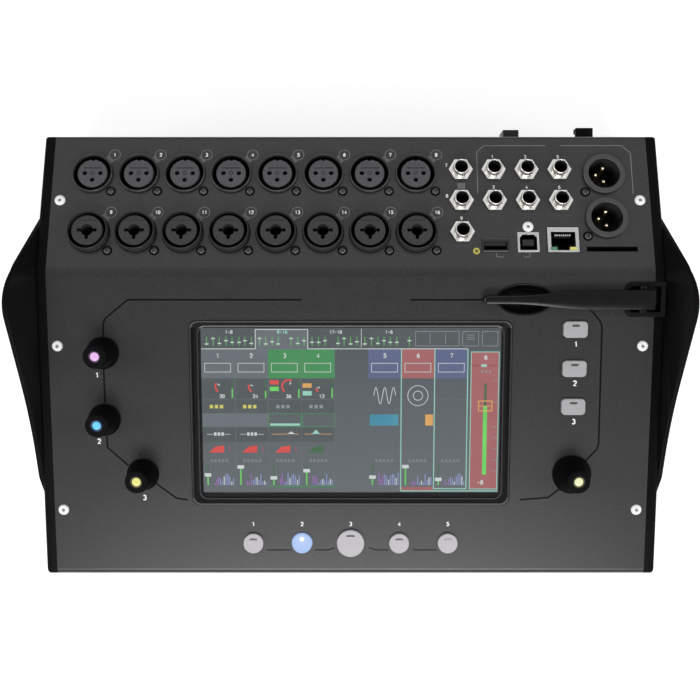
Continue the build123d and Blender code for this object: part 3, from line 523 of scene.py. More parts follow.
def turned(outline, sides=72, first_closed=True):
    """A turned shape: a ring of the first radius and height in millimetres, drawn through the others in turn."""
    (radius, height), *others = [(radius * mm, height * mm) for radius, height in outline]
    fill = "NGON" if first_closed else "NOTHING"
    add(
        bpy.ops.mesh.primitive_circle_add, vertices=sides, radius=radius, location=(0, 0, height),
        fill_type=fill,
    )
    editing(True)
    for end_radius, end_height in others:
        bpy.ops.mesh.extrude_edges_move(TRANSFORM_OT_translate={"value": (0, 0, end_height - height)})
        if end_radius == 0:
            bpy.ops.mesh.merge(type="CENTER")
        else:
            share = end_radius / radius
            bpy.ops.transform.resize(value=(share, share, 1), center_override=(0, 0, end_height))
        radius, height = end_radius, end_height
    bpy.ops.mesh.select_all(action="SELECT")
    bpy.ops.mesh.remove_doubles(threshold=0.001 * mm)
    bpy.ops.mesh.normals_make_consistent(inside=False)
    editing(False)
    return bpy.context.object


def rod(radius, bottom, top, x=0.0, y=0.0, sides=32):
    """A straight round rod."""
    middle = (x * mm, y * mm, (top + bottom) / 2 * mm)
    size = {"radius": radius * mm, "depth": (top - bottom) * mm}
    return add(bpy.ops.mesh.primitive_cylinder_add, vertices=sides, location=middle, **size)


def bar(low, high):
    """A straight block between two corners."""
    middle = [(a + b) / 2 * mm for a, b in zip(low, high)]
    block = add(bpy.ops.mesh.primitive_cube_add, size=1, location=middle)
    block.scale = [(b - a) * mm for a, b in zip(low, high)]
    bpy.ops.object.transform_apply(location=False, rotation=False, scale=True)
    return block


def cut(piece, cutters, operation="DIFFERENCE"):
    """Cuts each cutter out of a piece and clears the cutters away."""
    for cutter in cutters:
        bpy.context.view_layer.objects.active = piece
        bpy.ops.object.modifier_add(type="BOOLEAN")
        carve = piece.modifiers[-1]
        carve.object = cutter
        carve.operation = operation
        carve.solver = "EXACT"
        bpy.ops.object.modifier_apply(modifier=carve.name)
        bpy.data.objects.remove(cutter)
    if piece.data.has_custom_normals:
        bpy.ops.mesh.customdata_custom_splitnormals_clear()
    return piece


def smoothed(piece, angle=35):
    """Shades a piece's curves smooth and leaves its corners sharp."""
    only(piece)
    bpy.ops.object.shade_smooth_by_angle(angle=math.radians(angle))
    return piece


def repeated(piece, places):
    """A copy of a piece at each place, each with its own mesh; the pattern piece is cleared away."""
    copies = []
    for place in places:
        only(piece)
        bpy.ops.object.duplicate()
        copies.append(settle(bpy.context.object, place))
    bpy.data.objects.remove(piece)
    return copies


def out_of_connector_plane(finish):
    """How far a point of the surface stands out of the connector plane."""
    out = (0, math.sin(connector_fall), math.cos(connector_fall))
    offset = finish.node("ShaderNodeVectorMath", {"operation": "SUBTRACT"}, {0: finish.place, 1: ridge})
    rise = finish.node("ShaderNodeVectorMath", {"operation": "DOT_PRODUCT"}, {0: offset.outputs[0], 1: out})
    return Amount(finish, rise.outputs["Value"])


socket_black = clouded(
    "socket_moulding", {"Specular IOR Level": 0.4}, 2.5, 0.0045, 0.009, (0.34, 0.12), (0.25, 0.004)
)


def socket_ring(name, cloud, dark, light, rough, limit, painted_shade_grey):
    """A ring's moulding with painted shade: darker where it lies lower than a limit in millimetres above the
    plane.
    """
    finish = clouded(name, {"Specular IOR Level": 0.45}, cloud, dark, light, (rough, 0.1), (0.25, 0.004))
    lit_tone = finish.shader.inputs["Base Color"].links[0].from_socket
    # Painted shade: below the limit the moulding takes the given dark grey in place of its own tone.
    above_painted_shade = out_of_connector_plane(finish) > limit * mm
    finish.feed(finish.shader, {"Base Color": finish.mix(above_painted_shade, grey(painted_shade_grey), lit_tone)})
    return finish


# The sockets' grooves, below a tenth of a millimetre over the panel, are painted near black as shade.
ring_grey = socket_ring(
    "socket_ring_moulding", 1.5, (0.023, 0.0235, 0.025), (0.032, 0.0325, 0.034), 0.36, 0.1, 0.002
)

contact_grey = clouded(
    "contact_block_moulding", {"Specular IOR Level": 0.45}, 3, (0.058, 0.057, 0.063), (0.075, 0.074, 0.081),
    (0.42, 0.1), (0.2, 0.003),
)

mic_places = [on_connector(first_socket_x + socket_pitch * i, mic_row) for i in range(8)]
mic_outline = [
    (11.0, -22.4), (11.0, -1.6), (10.55, -1.6), (10.55, 1.45), (10.45, 1.8), (10.2, 2.0), (9.95, 2.0),
    (9.75, 1.8), (9.65, 1.3), (9.65, -17.5), (0, -17.5),
]
mic_housing = turned(mic_outline)
smoothed(mic_housing)
housings = together("mic_housings", repeated(mic_housing, mic_places), "desk", ring_grey)
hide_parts("mic_sockets")

mic_disc_radius = 7.6
mic_disc_top = 0.9
contact_radius = 1.25
mic_disc = rod(mic_disc_radius, mic_floor, mic_disc_top, sides=96)
round_edges(mic_disc, 0.3)
hole_floor = mic_disc_top - 11
mic_cutters = [
    rod(contact_radius, hole_floor, 3, x, y) for x, y in ((-4.0, 0.1), (4.0, 0.1), (0.0, -3.55))
]
mic_cutters.append(bar((-4.8, 2.55, mic_disc_top - 0.9), (4.8, 3.1, 3)))
ring_floor = mic_disc_top - 0.6
centre_ring = cut(rod(1.1, ring_floor, 3, 0, 0.2), [rod(0.72, 0, 4, 0, 0.2)])
cut(mic_disc, [*mic_cutters, centre_ring])
notch_ring = 7.9
notch_depth = -8
for angle, radius in ((90, 1.15), (68, 0.7), (112, 0.7), (135, 0.6), (45, 0.6)):
    x = notch_ring * math.cos(math.radians(angle))
    y = notch_ring * math.sin(math.radians(angle))
    cut(mic_disc, [rod(radius, notch_depth, 3, x, y)])
smoothed(mic_disc)
discs = together(
    "mic_contact_blocks", repeated(mic_disc, mic_places), "desk", contact_grey,
)
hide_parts("mic_inserts")


def number_marks(first, places, offset_x, offset_y):
    """A number in a thin ring beside each socket, and a small tab that points from the ring to the socket."""
    rings, tabs, numbers = [], [], []
    ring_radius = 2.8
    for number, place in enumerate(places, first):
        spot = place @ moved(offset_x, offset_y)
        add(bpy.ops.mesh.primitive_circle_add, vertices=40, radius=ring_radius * mm)
        rings.append(ink_wire(0.22, spot @ moved(0, 0, ink_height / 2)))
        tab = add(bpy.ops.mesh.primitive_plane_add, size=1)
        tab.scale = (1.7 * mm, 4.2 * mm, 1)
        bpy.ops.object.transform_apply(location=False, rotation=False, scale=True)
        editing(True)
        bpy.ops.mesh.select_all(action="SELECT")
        bpy.ops.mesh.subdivide(number_cuts=6)
        editing(False)
        for vertex in tab.data.vertices:
            lean = (vertex.co.y / (4.2 * mm)) ** 2 * 1.5 * mm
            vertex.co.x += lean * (1 if vertex.co.x > 0 else -0.6)
        turn = Matrix.Rotation(math.radians(45), 4, "Z") @ moved(-3.65, 0, ink_height)
        tabs.append(settle(tab, spot @ turn))
        numbers.append(ink_number(number, 2.1, spot))
    return rings, tabs, numbers


mic_rings, mic_tabs, mic_numbers = number_marks(1, mic_places, 10.8, 10.5)

# ---------------------------------------------------------------- combination sockets
# The lower row takes a three-pole plug or a quarter-inch plug: a taller ring with a sloping flank, and a raised
# dark contact block with a wide bore and three small contact holes that open into it.
combo_row = 21.3
combo_places = [on_connector(first_socket_x + socket_pitch * i, combo_row) for i in range(8)]
combo_outline = [
    (11.0, -22.4), (11.0, -1.6), (10.45, -1.6), (10.45, 0.5), (10.35, 1.1), (10.2, 3.9), (10.1, 4.3),
    (9.95, 4.5), (9.75, 4.5), (9.65, 4.2), (9.65, -17.5), (0, -17.5),
]
combo_housing = turned(combo_outline)
smoothed(combo_housing)
housings = together("combo_housings", repeated(combo_housing, combo_places), "desk", ring_grey)
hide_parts("combo_sockets")

combo_grey = clouded(
    "combination_block_moulding", {"Specular IOR Level": 0.4}, 3, (0.026, 0.026, 0.028), (0.036, 0.036, 0.038),
    (0.4, 0.1), (0.2, 0.003),
)

combo_disc_radius = 7.85
combo_disc_top = 3.9
jack_bore = 3.1
combo_disc = rod(combo_disc_radius, mic_floor, combo_disc_top, sides=96)
round_edges(combo_disc, 0.35)
combo_cutters = [rod(jack_bore, mic_floor + 1, 9, sides=48)]
slot_low = combo_disc_top - 11
for x, y in ((-4.1, 0.0), (4.1, 0.0), (0.0, -3.85)):
    combo_cutters.append(rod(1.05, slot_low, 9, x, y))
    neck = bar((-0.7, 0, slot_low), (0.7, 3.85, 9))
    combo_cutters.append(settle(neck, Matrix.Rotation(math.atan2(-x, y), 4, "Z")))
combo_cutters.append(bar((-4.6, 5.0, combo_disc_top - 0.3), (4.6, 5.35, 9)))
cut(combo_disc, combo_cutters)
smoothed(combo_disc)
discs = together(
    "combo_contact_blocks", repeated(combo_disc, combo_places), "desk", combo_grey,
)
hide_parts("combo_inserts")
combo_rings, combo_tabs, combo_numbers = number_marks(9, combo_places, 10.7, 10.9)
together("socket_number_rings", mic_rings + combo_rings, "desk", grey_ink)
tab_ink = clouded("pale_grey_ink", {"Roughness": 0.55}, 0.4, 0.13, 0.17)
together("socket_number_tabs", mic_tabs + combo_tabs, "desk", tab_ink)
together("socket_numbers", mic_numbers + combo_numbers, "desk", white_ink)

# ---------------------------------------------------------------- line jacks
# Nine quarter-inch jacks: a nickel-plated threaded bushing, clamped to the panel by a flat hexagonal nut, and a
# black moulded barrel inside.
jack_columns = [panel_half - 46.1 - 16.93 * i for i in range(4)]
jack_rows = (55.1, 38.2, 21.2)
jack_grid = [(column, row) for column in (2, 1, 0) for row in (0, 1)] + [(3, 0), (3, 1), (3, 2)]
jack_places = [on_connector(jack_columns[column], jack_rows[row]) for column, row in jack_grid]

nickel = clouded("nickel_plate", {"Metallic": 1.0}, 1.4, (0.72, 0.70, 0.67), (0.84, 0.83, 0.80), (0.28, 0.08))

thread_crest = 4.1
thread_root = 3.95
thread_pitch = 0.8
thread_turns = 3
thread_start = 2.0
bushing_outline = [(thread_root, 0.2), (thread_crest, thread_start)]
for turn in range(thread_turns):
    rise = thread_start + thread_pitch * turn
    bushing_outline += [(thread_crest, rise + 0.2), (thread_root, rise + 0.45), (thread_root, rise + 0.55)]
    bushing_outline.append((thread_crest, rise + thread_pitch))
bushing_outline += [(4.1, 5.0), (4.05, 5.35), (3.92, 5.65), (3.75, 5.8), (3.5, 5.8), (3.35, 5.65), (3.25, 5.4)]
bushing_outline += [(3.25, 4.4), (3.0, 4.4)]
bushing = turned(bushing_outline, 72, False)
smoothed(bushing, 40)
bushings = together("jack_bushings", repeated(bushing, jack_places), "desk", nickel)

jack_outline = (
    (6.6, -22.4), (6.6, -1.7), (4.4, -1.7), (4.4, 0.4), (3.7, 0.4), (3.7, 4.9), (3.12, 4.9), (2.95, 4.6),
    (2.95, -17.5), (0, -17.5),
)
jack_body = turned(jack_outline, 48)
smoothed(jack_body)
together("jack_bodies", repeated(jack_body, jack_places), "desk", socket_black)
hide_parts("line_jacks")

nut_half = 10.75 / 2
nut_height = 2.0
nut_corner = nut_half / math.cos(math.radians(30))
nut = settle(rod(nut_corner, 0, nut_height, sides=6), Matrix.Rotation(math.radians(30), 4, "Z"))
cut(nut, [rod(4.13, -1, 3, sides=72)])
smoothed(nut, 25)
nuts = together("jack_nuts_plated", repeated(nut, jack_places), "desk", nickel)
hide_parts("jack_nuts")

# Plain numbers stand over the six output jacks, and a pale tab joins the pair of stereo jacks.
number_shift = (-0.1, 7.75)
side_shift = (-7.2, 3.0)
jack_numbers = [
    ink_number(number, 2.0, place @ moved(*(side_shift if number in (7, 8) else number_shift)))
    for number, place in enumerate(jack_places, 1)
]
together("jack_numbers", jack_numbers, "desk", white_ink)
stereo_tab = add(bpy.ops.mesh.primitive_plane_add, size=mm)
stereo_tab.scale = (3.9, 3.5, 1)
stereo_tab = settle(stereo_tab, on_connector(57.0, 46.5, ink_height))
editing(True)
bpy.ops.mesh.subdivide(number_cuts=3)
editing(False)
together("stereo_pair_tab", [stereo_tab], "desk", tab_ink)

# ---------------------------------------------------------------- main outputs
# Two three-pole outputs, each a flat grey ring round an open black cup with a key groove, the cup's walls and the
# ring's sides painted darker as shade, and three gold-plated pins whose rounded tips catch the light.
main_column = panel_half - 23.1
main_places = [on_connector(main_column, v) for v in (53.0, 29.0)]
main_outline = [
    (11.0, -22.4), (11.0, -1.6), (10.4, -1.6), (10.4, 0.03), (10.8, 0.03), (10.8, 1.6), (10.7, 1.85),
    (10.5, 2.0), (8.25, 2.0), (8.1, 1.85), (8.1, -14.0), (0, -14.0),
]
main_housing = turned(main_outline)
cut(main_housing, [bar((7.2, -1.1, -13.0), (8.6, 1.1, 1.2))])
smoothed(main_housing)

# Painted shade: the ring's sides and cup below 1.5 mm are painted a darker grey.
main_ring = socket_ring("main_output_ring", 2, (0.042, 0.043, 0.046), (0.054, 0.055, 0.058), 0.4, 1.5, 0.02)
housings = together(
    "main_output_housings", repeated(main_housing, main_places), "desk", main_ring,
)
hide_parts("main_output_sockets")
dress(socket_black, "main_output_inserts")

gold = clouded("gold_plate", {"Metallic": 1.0}, 0.9, (0.90, 0.78, 0.50), (0.97, 0.88, 0.64), (0.2, 0.08))
pin_spots = ((0.0, 3.65), (-3.9, 0.0), (0.0, -3.65))
pin_outline = [(1.12, -14.5), (1.12, -1.5), (1.06, -1.0), (0.92, -0.55), (0.68, -0.12), (0.38, 0.12), (0, 0.2)]
pin = turned(pin_outline, 32)
smoothed(pin, 60)
pin_places = [place @ moved(x, y) for place in main_places for x, y in pin_spots]
pins = together("main_pins_plated", repeated(pin, pin_places), "desk", gold)
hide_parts("main_output_pins")

# ---------------------------------------------------------------- socket screws
# A small black screw beside each round socket holds it from the panel's face: a domed head with a cross
# recess, in a black ring painted as the shade round the head.
screw_places = [place @ moved(9.9, -9.7) for place in mic_places + combo_places]
screw_places += [place @ moved(-9.9, -9.7) for place in main_places]
# One black moulding serves the card slot and the network liner, and also the painted shade round the socket screws
# and the painted shadow in the network cut-out.
black_moulding_and_shade = clouded("black_cup_moulding", {"Specular IOR Level": 0.1}, 1, 0.001, 0.002)
zinc_light = clouded("bright_zinc", {"Metallic": 0.8}, 0.7, 0.05, 0.14, (0.26, 0.16))
painted_shade_ring_outline = ((2.2, 0.02), (2.55, 0.02), (2.55, 0.2), (2.35, 0.3), (1.8, 0.1), (1.6, 0.02), (2.2, 0.02))
painted_shade_ring = turned(painted_shade_ring_outline, 40, False)
smoothed(painted_shade_ring, 50)
together("socket_screw_washers", repeated(painted_shade_ring, screw_places), "desk", black_moulding_and_shade)
head_outline = (
    (1.0, -6.0), (1.0, 0.03), (1.75, 0.03), (1.75, 0.45), (1.6, 0.75), (1.2, 1.0), (0.6, 1.09), (0, 1.1),
)
screw_head = turned(head_outline, 40)
recess_arms = [
    settle(bar((-1.0, -0.22, 0.5), (1.0, 0.22, 3)), Matrix.Rotation(turn, 4, "Z"))
    for turn in (0.35, 0.35 + math.pi / 2)
]
cut(screw_head, recess_arms)
smoothed(screw_head, 40)
heads = together("socket_screws_zinc", repeated(screw_head, screw_places), "desk", zinc_light)
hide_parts("socket_screws")

# The panel's own screws: smooth white-painted domes with a small recess, whose floor is a grey disc painted as
# the recess's shade, at the corners, halfway along the sides and one above the square port.
side_screw_x = panel_half - 5.0
white_places = [on_connector(side * side_screw_x - 0.3, 38.7) for side in (-1, 1)]
white_places += [on_control(side * side_screw_x - 0.3, v) for v in (-37.2, -122.8) for side in (-1, 1)]
white_places.append(on_connector(jack_columns[1] - 0.3, 24.3))
dome_outline = (
    (1.2, -5.0), (1.2, 0.02), (2.7, 0.02), (2.74, 0.35), (2.6, 0.75), (2.2, 1.05), (1.55, 1.24), (1.1, 1.28),
)
dome_outline += ((0.95, 1.16), (0.85, 0.7), (0, 0.7))
dome = turned(dome_outline, 48)
smoothed(dome, 50)
domes = together("panel_screws_white", repeated(dome, white_places), "desk", white_paint)
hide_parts("panel_screws")
# Painted shade: a grey disc at the floor of each recess stands for the shade in it.
recess_shade_disc = rod(0.86, 0.5, 0.76, sides=6)
recess_painted_shade = clouded("screw_recess", {"Roughness": 0.5}, 0.5, 0.12, 0.3)
together("panel_screw_recesses", repeated(recess_shade_disc, white_places), "desk", recess_painted_shade)

# ---------------------------------------------------------------- square ports, card slot and status light
# Three ports stand in a line: a flat one with a dark lip and a tongue, a square one in bright pressed steel
# with a block, and a network port whose bright shell holds a black liner, eight springs and two light
# windows. Thin steel strips along the flat port's edges are painted highlights, and the steel shells are
# painted black inside their mouths as shade.
port_foot = 10.7
port_rise = 0.4
port_floor = -22.4
port_mouth_depth = -12.0
port_floors = (port_foot + 3.65, port_foot + 5.35, port_foot + 6.7)
port_shifts = (-0.2, -0.4, 0.4)
port_places = [
    on_connector(jack_columns[column] + shift, middle)
    for column, shift, middle in zip((2, 1, 0), port_shifts, port_floors)
]

dull_steel = Finish("dull_lip_steel", {"Metallic": 1.0})
dull_grain = dull_steel.noise(0.7, 3.0)
dull_steel.feed(
    dull_steel.shader,
    {"Base Color": dull_steel.mix(dull_grain, grey(0.16), grey(0.26)), "Roughness": 0.34 + dull_grain * 0.1},
)

steel = Finish("pressed_steel", {"Metallic": 1.0})
steel_grain = steel.noise(0.7, 3.0)
steel.feed(steel.shader, {"Base Color": steel.mix(steel_grain, grey(0.62), grey(0.78))})
steel.feed(steel.shader, {"Roughness": 0.3 + steel_grain * 0.12})
steel.bump(steel_grain, 0.003)

# Painted shade: where the shells lie below the panel face, inside their mouths, they are painted near black and
# not metal.
shell_steel = Finish("port_shell_steel")
shell_above_painted_shade = out_of_connector_plane(shell_steel) > 0.0
shell_tone = shell_steel.mix(shell_steel.noise(0.8), grey(0.55), grey(0.72))
shell_steel.feed(shell_steel.shader, {"Base Color": shell_steel.mix(shell_above_painted_shade, grey(0.004), shell_tone)})
shell_steel.feed(shell_steel.shader, {"Metallic": shell_above_painted_shade, "Roughness": 0.36 + shell_steel.noise(1) * 0.1})

lip_dark = clouded("dark_port_lip", {"Specular IOR Level": 0.4}, 1, 0.010, 0.018, (0.4, 0.1))


def port_shell(size, mouth, sink):
    """A port's shell: an oblong block with an oblong mouth, whose middle lies sink lower than the block's."""
    half_width, half_height = size[0] / 2, size[1] / 2
    shell = bar((-half_width, -half_height, port_floor), (half_width, half_height, port_rise))
    hole = bar((-mouth[0] / 2, -mouth[1] / 2 - sink, port_mouth_depth), (mouth[0] / 2, mouth[1] / 2 - sink, 5))
    return shell, hole


flat_shell, flat_mouth = port_shell((13.8, 7.3), (11.8, 4.1), 0.3)
cut(flat_shell, [flat_mouth])
round_edges(flat_shell, 0.15)
flat_shell = together("flat_port_shell", [settle(flat_shell, port_places[0])], "desk", lip_dark)
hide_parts("usb_a_shell")
# Painted highlights: two thin steel strips stand for the lines of light along the flat shell's top and bottom
# edges, the top one thinner as its line is dimmer.
flat_port_highlight_strips = [
    bar((-6.7, 3.3, 0.3), (6.7, 3.45, 0.48)),
    bar((-6.4, -3.5, 0.3), (6.4, -3.05, 0.5)),
]
flat_port_highlight_strips = [settle(edge, port_places[0]) for edge in flat_port_highlight_strips]
together("flat_port_bright_edges", flat_port_highlight_strips, "desk", dull_steel)

square_shell, square_mouth = port_shell((11.0, 10.7), (8.7, 8.3), 0.1)
for side in (-1, 1):
    corner = bar((-1.1, -1.1, -13), (1.1, 1.1, 6))
    turn = Matrix.Rotation(math.radians(45), 4, "Z")
    cut(square_mouth, [settle(corner, moved(side * 4.35, 4.05) @ turn)])
cut(square_shell, [square_mouth])
round_edges(square_shell, 0.15)
square_shell = together(
    "square_port_shell", [settle(square_shell, port_places[1])], "desk", shell_steel,
)
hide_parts("usb_b_shell")
dress(lip_dark, "usb_contact_blocks")

network_place = port_places[2]
network_shell, network_mouth = port_shell((16.0, 13.4), (12.4, 9.9), 0.75)
cut(network_shell, [network_mouth])
round_edges(network_shell, 0.15)
network_shell = together("network_shell", [settle(network_shell, network_place)], "desk", shell_steel)
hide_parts("network_socket")
liner = bar((-6.15, -5.65, port_mouth_depth), (6.15, 4.15, -0.3))
cut(liner, [
    bar((-5.6, -2.6, -11), (5.6, 3.7, 3)),
    bar((-2.7, -5.2, -11), (2.7, 0, 3)),
])
together("network_liner", [settle(liner, network_place)], "desk", black_moulding_and_shade)
springs = []
for i in range(8):
    x = (i - 3.5) * 1.06
    spring = bar((x - 0.27, 2.3, -5.0), (x + 0.27, 3.2, -1.0))
    springs.append(settle(spring, network_place))
together("network_springs", springs, "desk", steel)
# Painted shadow: a thin black frame on the panel round the network shell stands for the shade in the cut-out's
# gap.
cutout_shadow_frame = bar((-8.35, -6.9, 0.01), (8.35, 7.15, 0.06))
cut(cutout_shadow_frame, [bar((-8.0, -6.7, -1), (8.0, 6.7, 1))])
together("network_cutout_edge", [settle(cutout_shadow_frame, network_place)], "desk", black_moulding_and_shade)


def lit(name, colour, edge_colour, strength, even={}):
    """A translucent window lit from behind, brighter in the middle of its cloud."""
    glow = Finish(name, {"Roughness": 0.3, "Emission Strength": strength, **even})
    cloud = glow.noise(1.5)
    glow.feed(glow.shader, {"Base Color": glow.mix(cloud, edge_colour, colour)})
    glow.feed(glow.shader, {"Emission Color": glow.mix(cloud, edge_colour, colour)})
    return glow


green_window = lit("green_window", (0.06, 0.19, 0.11, 1), (0.03, 0.11, 0.06, 1), 0.5)
yellow_window = lit("yellow_window", (0.50, 0.50, 0.12, 1), (0.38, 0.37, 0.09, 1), 0.35)
for name, low, high, glow in (
    ("network_light_green", -6.9, -3.2, green_window), ("network_light_yellow", 3.2, 6.9, yellow_window)
):
    window = bar((low, -5.6, -0.5), (high, -3.9, 0.42))
    round_edges(window, 0.15)
    together(name, [settle(window, network_place)], "desk", glow)

card_place = on_connector(panel_half - 21.1, 12.4)
card_lips = bar((-12.95, -1.35, -1.45), (12.95, 1.3, 0.03))
cut(card_lips, [bar((-12.6, -1.0, -3), (12.6, 1.0, 3))])
together("card_slot_lips", [settle(card_lips, card_place)], "desk", black_moulding_and_shade)
dress(black_moulding_and_shade, "card_reader")

# The status light is a moulded yellow ring round a dim centre, with small notches in its rim.
status_place = on_connector(panel_half - 89.9, 11.3)
status_glow = lit("status_light_ring", (0.50, 0.42, 0.08, 1), (0.30, 0.25, 0.05, 1), 0.3)
status_dim = lit("status_light_centre", (0.12, 0.11, 0.035, 1), (0.07, 0.065, 0.02, 1), 0.2)
dress(status_dim, "status_light")
status_outline = ((1.75, 0.05), (1.75, 0.26), (1.5, 0.36), (1.1, 0.36), (0.85, 0.26), (0.85, 0.05), (1.75, 0.05))
status_ring = turned(status_outline, 36, False)
for turn in range(5):
    spot = Matrix.Rotation(turn * math.tau / 5 + 0.3, 4, "Z") @ Vector((1.8, 0, 0))
    cut(status_ring, [rod(0.32, -1, 1, spot.x, spot.y, 16)])
smoothed(status_ring, 40)
together("status_light_ring", [settle(status_ring, status_place)], "desk", status_glow)
dress(steel, "board_post")


# ---------------------------------------------------------------- display frame
# The display sits in a moulded frame with a bevelled outer edge and a sloping window, and two fine edges run
# round it. The lip, the trough and the inner edge are painted lighter along the rear side, and the lip along the
# front side too, as painted highlight; a thin dark ring round the outline is painted shadow. Behind the window
# are the cover glass and the display module.
frame_box = (-81.8, -120.1, 81.9, -24.4)
window_box = (-77.5, -116.6, 77.6, -27.4)


def frame_finish(name, dark, light, gloss_level=0.3):
    """The frame's moulding where it is this dark."""
    return clouded(name, {"Specular IOR Level": gloss_level}, 6, dark, light, (0.34, 0.1), (0.3, 0.006))


def between(share, drawn_in=0.0):
    """An oblong part of the way from the frame's outline to its window, drawn in a little further."""
    mixed = [a + (b - a) * share for a, b in zip(frame_box, window_box)]
    return mixed[0] + drawn_in, mixed[1] + drawn_in, mixed[2] - drawn_in, mixed[3] - drawn_in


def frame_ring(name, finish, stations):
    """A four-sided ring: an oblong with rounded corners, drawn through others in turn and back to the first."""
    (left, bottom, right, top), height = stations[0]
    ring = add(bpy.ops.mesh.primitive_plane_add, size=1)
    ring.scale = ((right - left) * mm, (top - bottom) * mm, 1)
    ring.location = ((left + right) / 2 * mm, (bottom + top) / 2 * mm, height * mm)
    bpy.ops.object.transform_apply(location=True, rotation=True, scale=True)
    editing(True)
    bpy.ops.mesh.bevel(affect="VERTICES", offset=4.0 * mm, segments=10)
    bpy.ops.mesh.delete(type="ONLY_FACE")
    bpy.ops.mesh.select_all(action="SELECT")
    for box, rise in [*stations[1:], stations[0]]:
        shift = (
            (box[0] + box[2] - left - right) / 2 * mm, (box[1] + box[3] - bottom - top) / 2 * mm,
            (rise - height) * mm,
        )
        bpy.ops.mesh.extrude_edges_move(TRANSFORM_OT_translate={"value": shift})
        centre = ((box[0] + box[2]) / 2 * mm, (box[1] + box[3]) / 2 * mm, rise * mm)
        share = ((box[2] - box[0]) / (right - left), (box[3] - box[1]) / (top - bottom), 1)
        bpy.ops.transform.resize(value=share, center_override=centre)
        (left, bottom, right, top), height = box, rise
    bpy.ops.mesh.select_all(action="SELECT")
    bpy.ops.mesh.remove_doubles(threshold=0.002 * mm)
    bpy.ops.mesh.normals_make_consistent(inside=False)
    editing(False)
    smoothed(settle(ring, on_control(0, 0)), 30)
    return together(name, [ring], "desk", finish)


def lighter_side(finish, dark, light, front_too=False):
    """Painted light: makes the moulding lighter along the frame's rear side, which faces the light, or its front
    side too.
    """
    split = finish.node("ShaderNodeSeparateXYZ", {}, {"Vector": finish.place})
    away = Amount(finish, split.outputs["Y"]) - frame_middle
    if front_too:
        away = away * away * (1 / frame_reach)
    finish.feed(finish.shader, {"Base Color": finish.mix(away > frame_reach, grey(dark), grey(light))})


frame_middle = (on_control(0, (frame_box[1] + frame_box[3]) / 2) @ Vector()).y
frame_reach = (on_control(0, -28.0) @ Vector()).y - frame_middle
# Painted highlights: the lip, the trough and the inner edge are made lighter along the rear side, the lip along
# the front side too.
lip_tone = frame_finish("display_frame_lip", 0.050, 0.062)
lighter_side(lip_tone, 0.042, 0.085, True)
trough_tone = frame_finish("display_frame_trough", 0.003, 0.005, 0.1)
lighter_side(trough_tone, 0.003, 0.014)
land_tone = frame_finish("display_frame_land", 0.008, 0.012, 0.06)
edge_tone = frame_finish("display_frame_edge", 0.03, 0.04)
lighter_side(edge_tone, 0.03, 0.17)
lip = [
    (between(0), -0.5), (between(0), 0.55), (between(0, 0.2), 0.85), (between(0, 0.55), 0.9),
    (between(0, 0.75), 0.6),
]
lip.append((between(0, 0.75), -0.5))
lip = frame_ring("display_frame_lip", lip_tone, lip)
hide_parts("display_bezel")
# Painted shadow: a thin dark ring round the frame's outline.
gap_shadow = [(between(0, -0.4), 0.02), (between(0, -0.4), 0.1), (between(0, 0.1), 0.1), (between(0, 0.1), 0.02)]
frame_ring("display_frame_seam", trough_tone, gap_shadow)
trough = [(between(0, 0.7), -0.5), (between(0, 0.7), 0.35), (between(0, 2.1), 0.35), (between(0, 2.1), -0.5)]
frame_ring("display_frame_trough", trough_tone, trough)
land = [
    (between(0, 2.05), -0.15), (between(0, 2.05), 0.5), (between(0, 2.3), 0.75), (between(1, -0.6), 0.4),
    (between(1, -0.6), -0.15),
]
frame_ring("display_frame_land", land_tone, land)
edge = [
    (between(1, -0.6), -0.15), (between(1, -0.6), 0.5), (between(1, -0.15), 0.5), (between(1, 0), 0.3),
    (between(1, 0), -0.15),
]
frame_ring("display_frame_edge", edge_tone, edge)

screen_place = on_control(0.2, -71.8)
glass_top = -0.2
glass_bottom = -0.75
window_half = (78.6, 45.4)
clear = Finish(
    "cover_glass", {"Roughness": 0.03, "IOR": 1.45, "Transmission Weight": 1.0, "Base Color": grey(1.0)},
)
smear = clear.noise(18, 2.0)
clear.feed(clear.shader, {"Roughness": 0.02 + smear * 0.03})
cover = bar((-window_half[0], -window_half[1], glass_bottom), (window_half[0], window_half[1], glass_top))
round_edges(cover, 0.1)
cover = settle(cover, screen_place)
together("cover_glass", [cover], "desk", clear)
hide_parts("touch_glass")

# ---------------------------------------------------------------- picture on the display
# The display shows a mixer page in hazy greys: a bar of small faders along the top, channel strips with coloured
# heads, dials, curves and level bars, and a wide red strip with the main fader. It has numbers and no words.
picture_level = -1.25
layer_step = 0.04
glow_level = 0.86


def seen_colour(red, green, blue):
    """The light that a colour of the display gives, from its three levels out of 255."""
    levels = []
    for level in (red, green, blue):
        share = level / 255
        levels.append((share / 12.92 if share < 0.04 else ((share + 0.055) / 1.055) ** 2.4) * glow_level)
    return (*levels, 1.0)


def picture_light(name):
    """A finish that gives off light, as a lit display does."""
    even = {"Base Color": grey(0.004), "Roughness": 0.6, "Specular IOR Level": 0.1, "Emission Strength": 1.0}
    return Finish(f"picture_{name}", even)


def picture_finish(name, first, second):
    """Light from the display: nearly one colour, a little uneven, as through a hazy glass."""
    light = picture_light(name)
    tone = light.mix(light.noise(14, 1.0), seen_colour(*first), seen_colour(*second))
    light.feed(light.shader, {"Emission Color": tone})
    return light


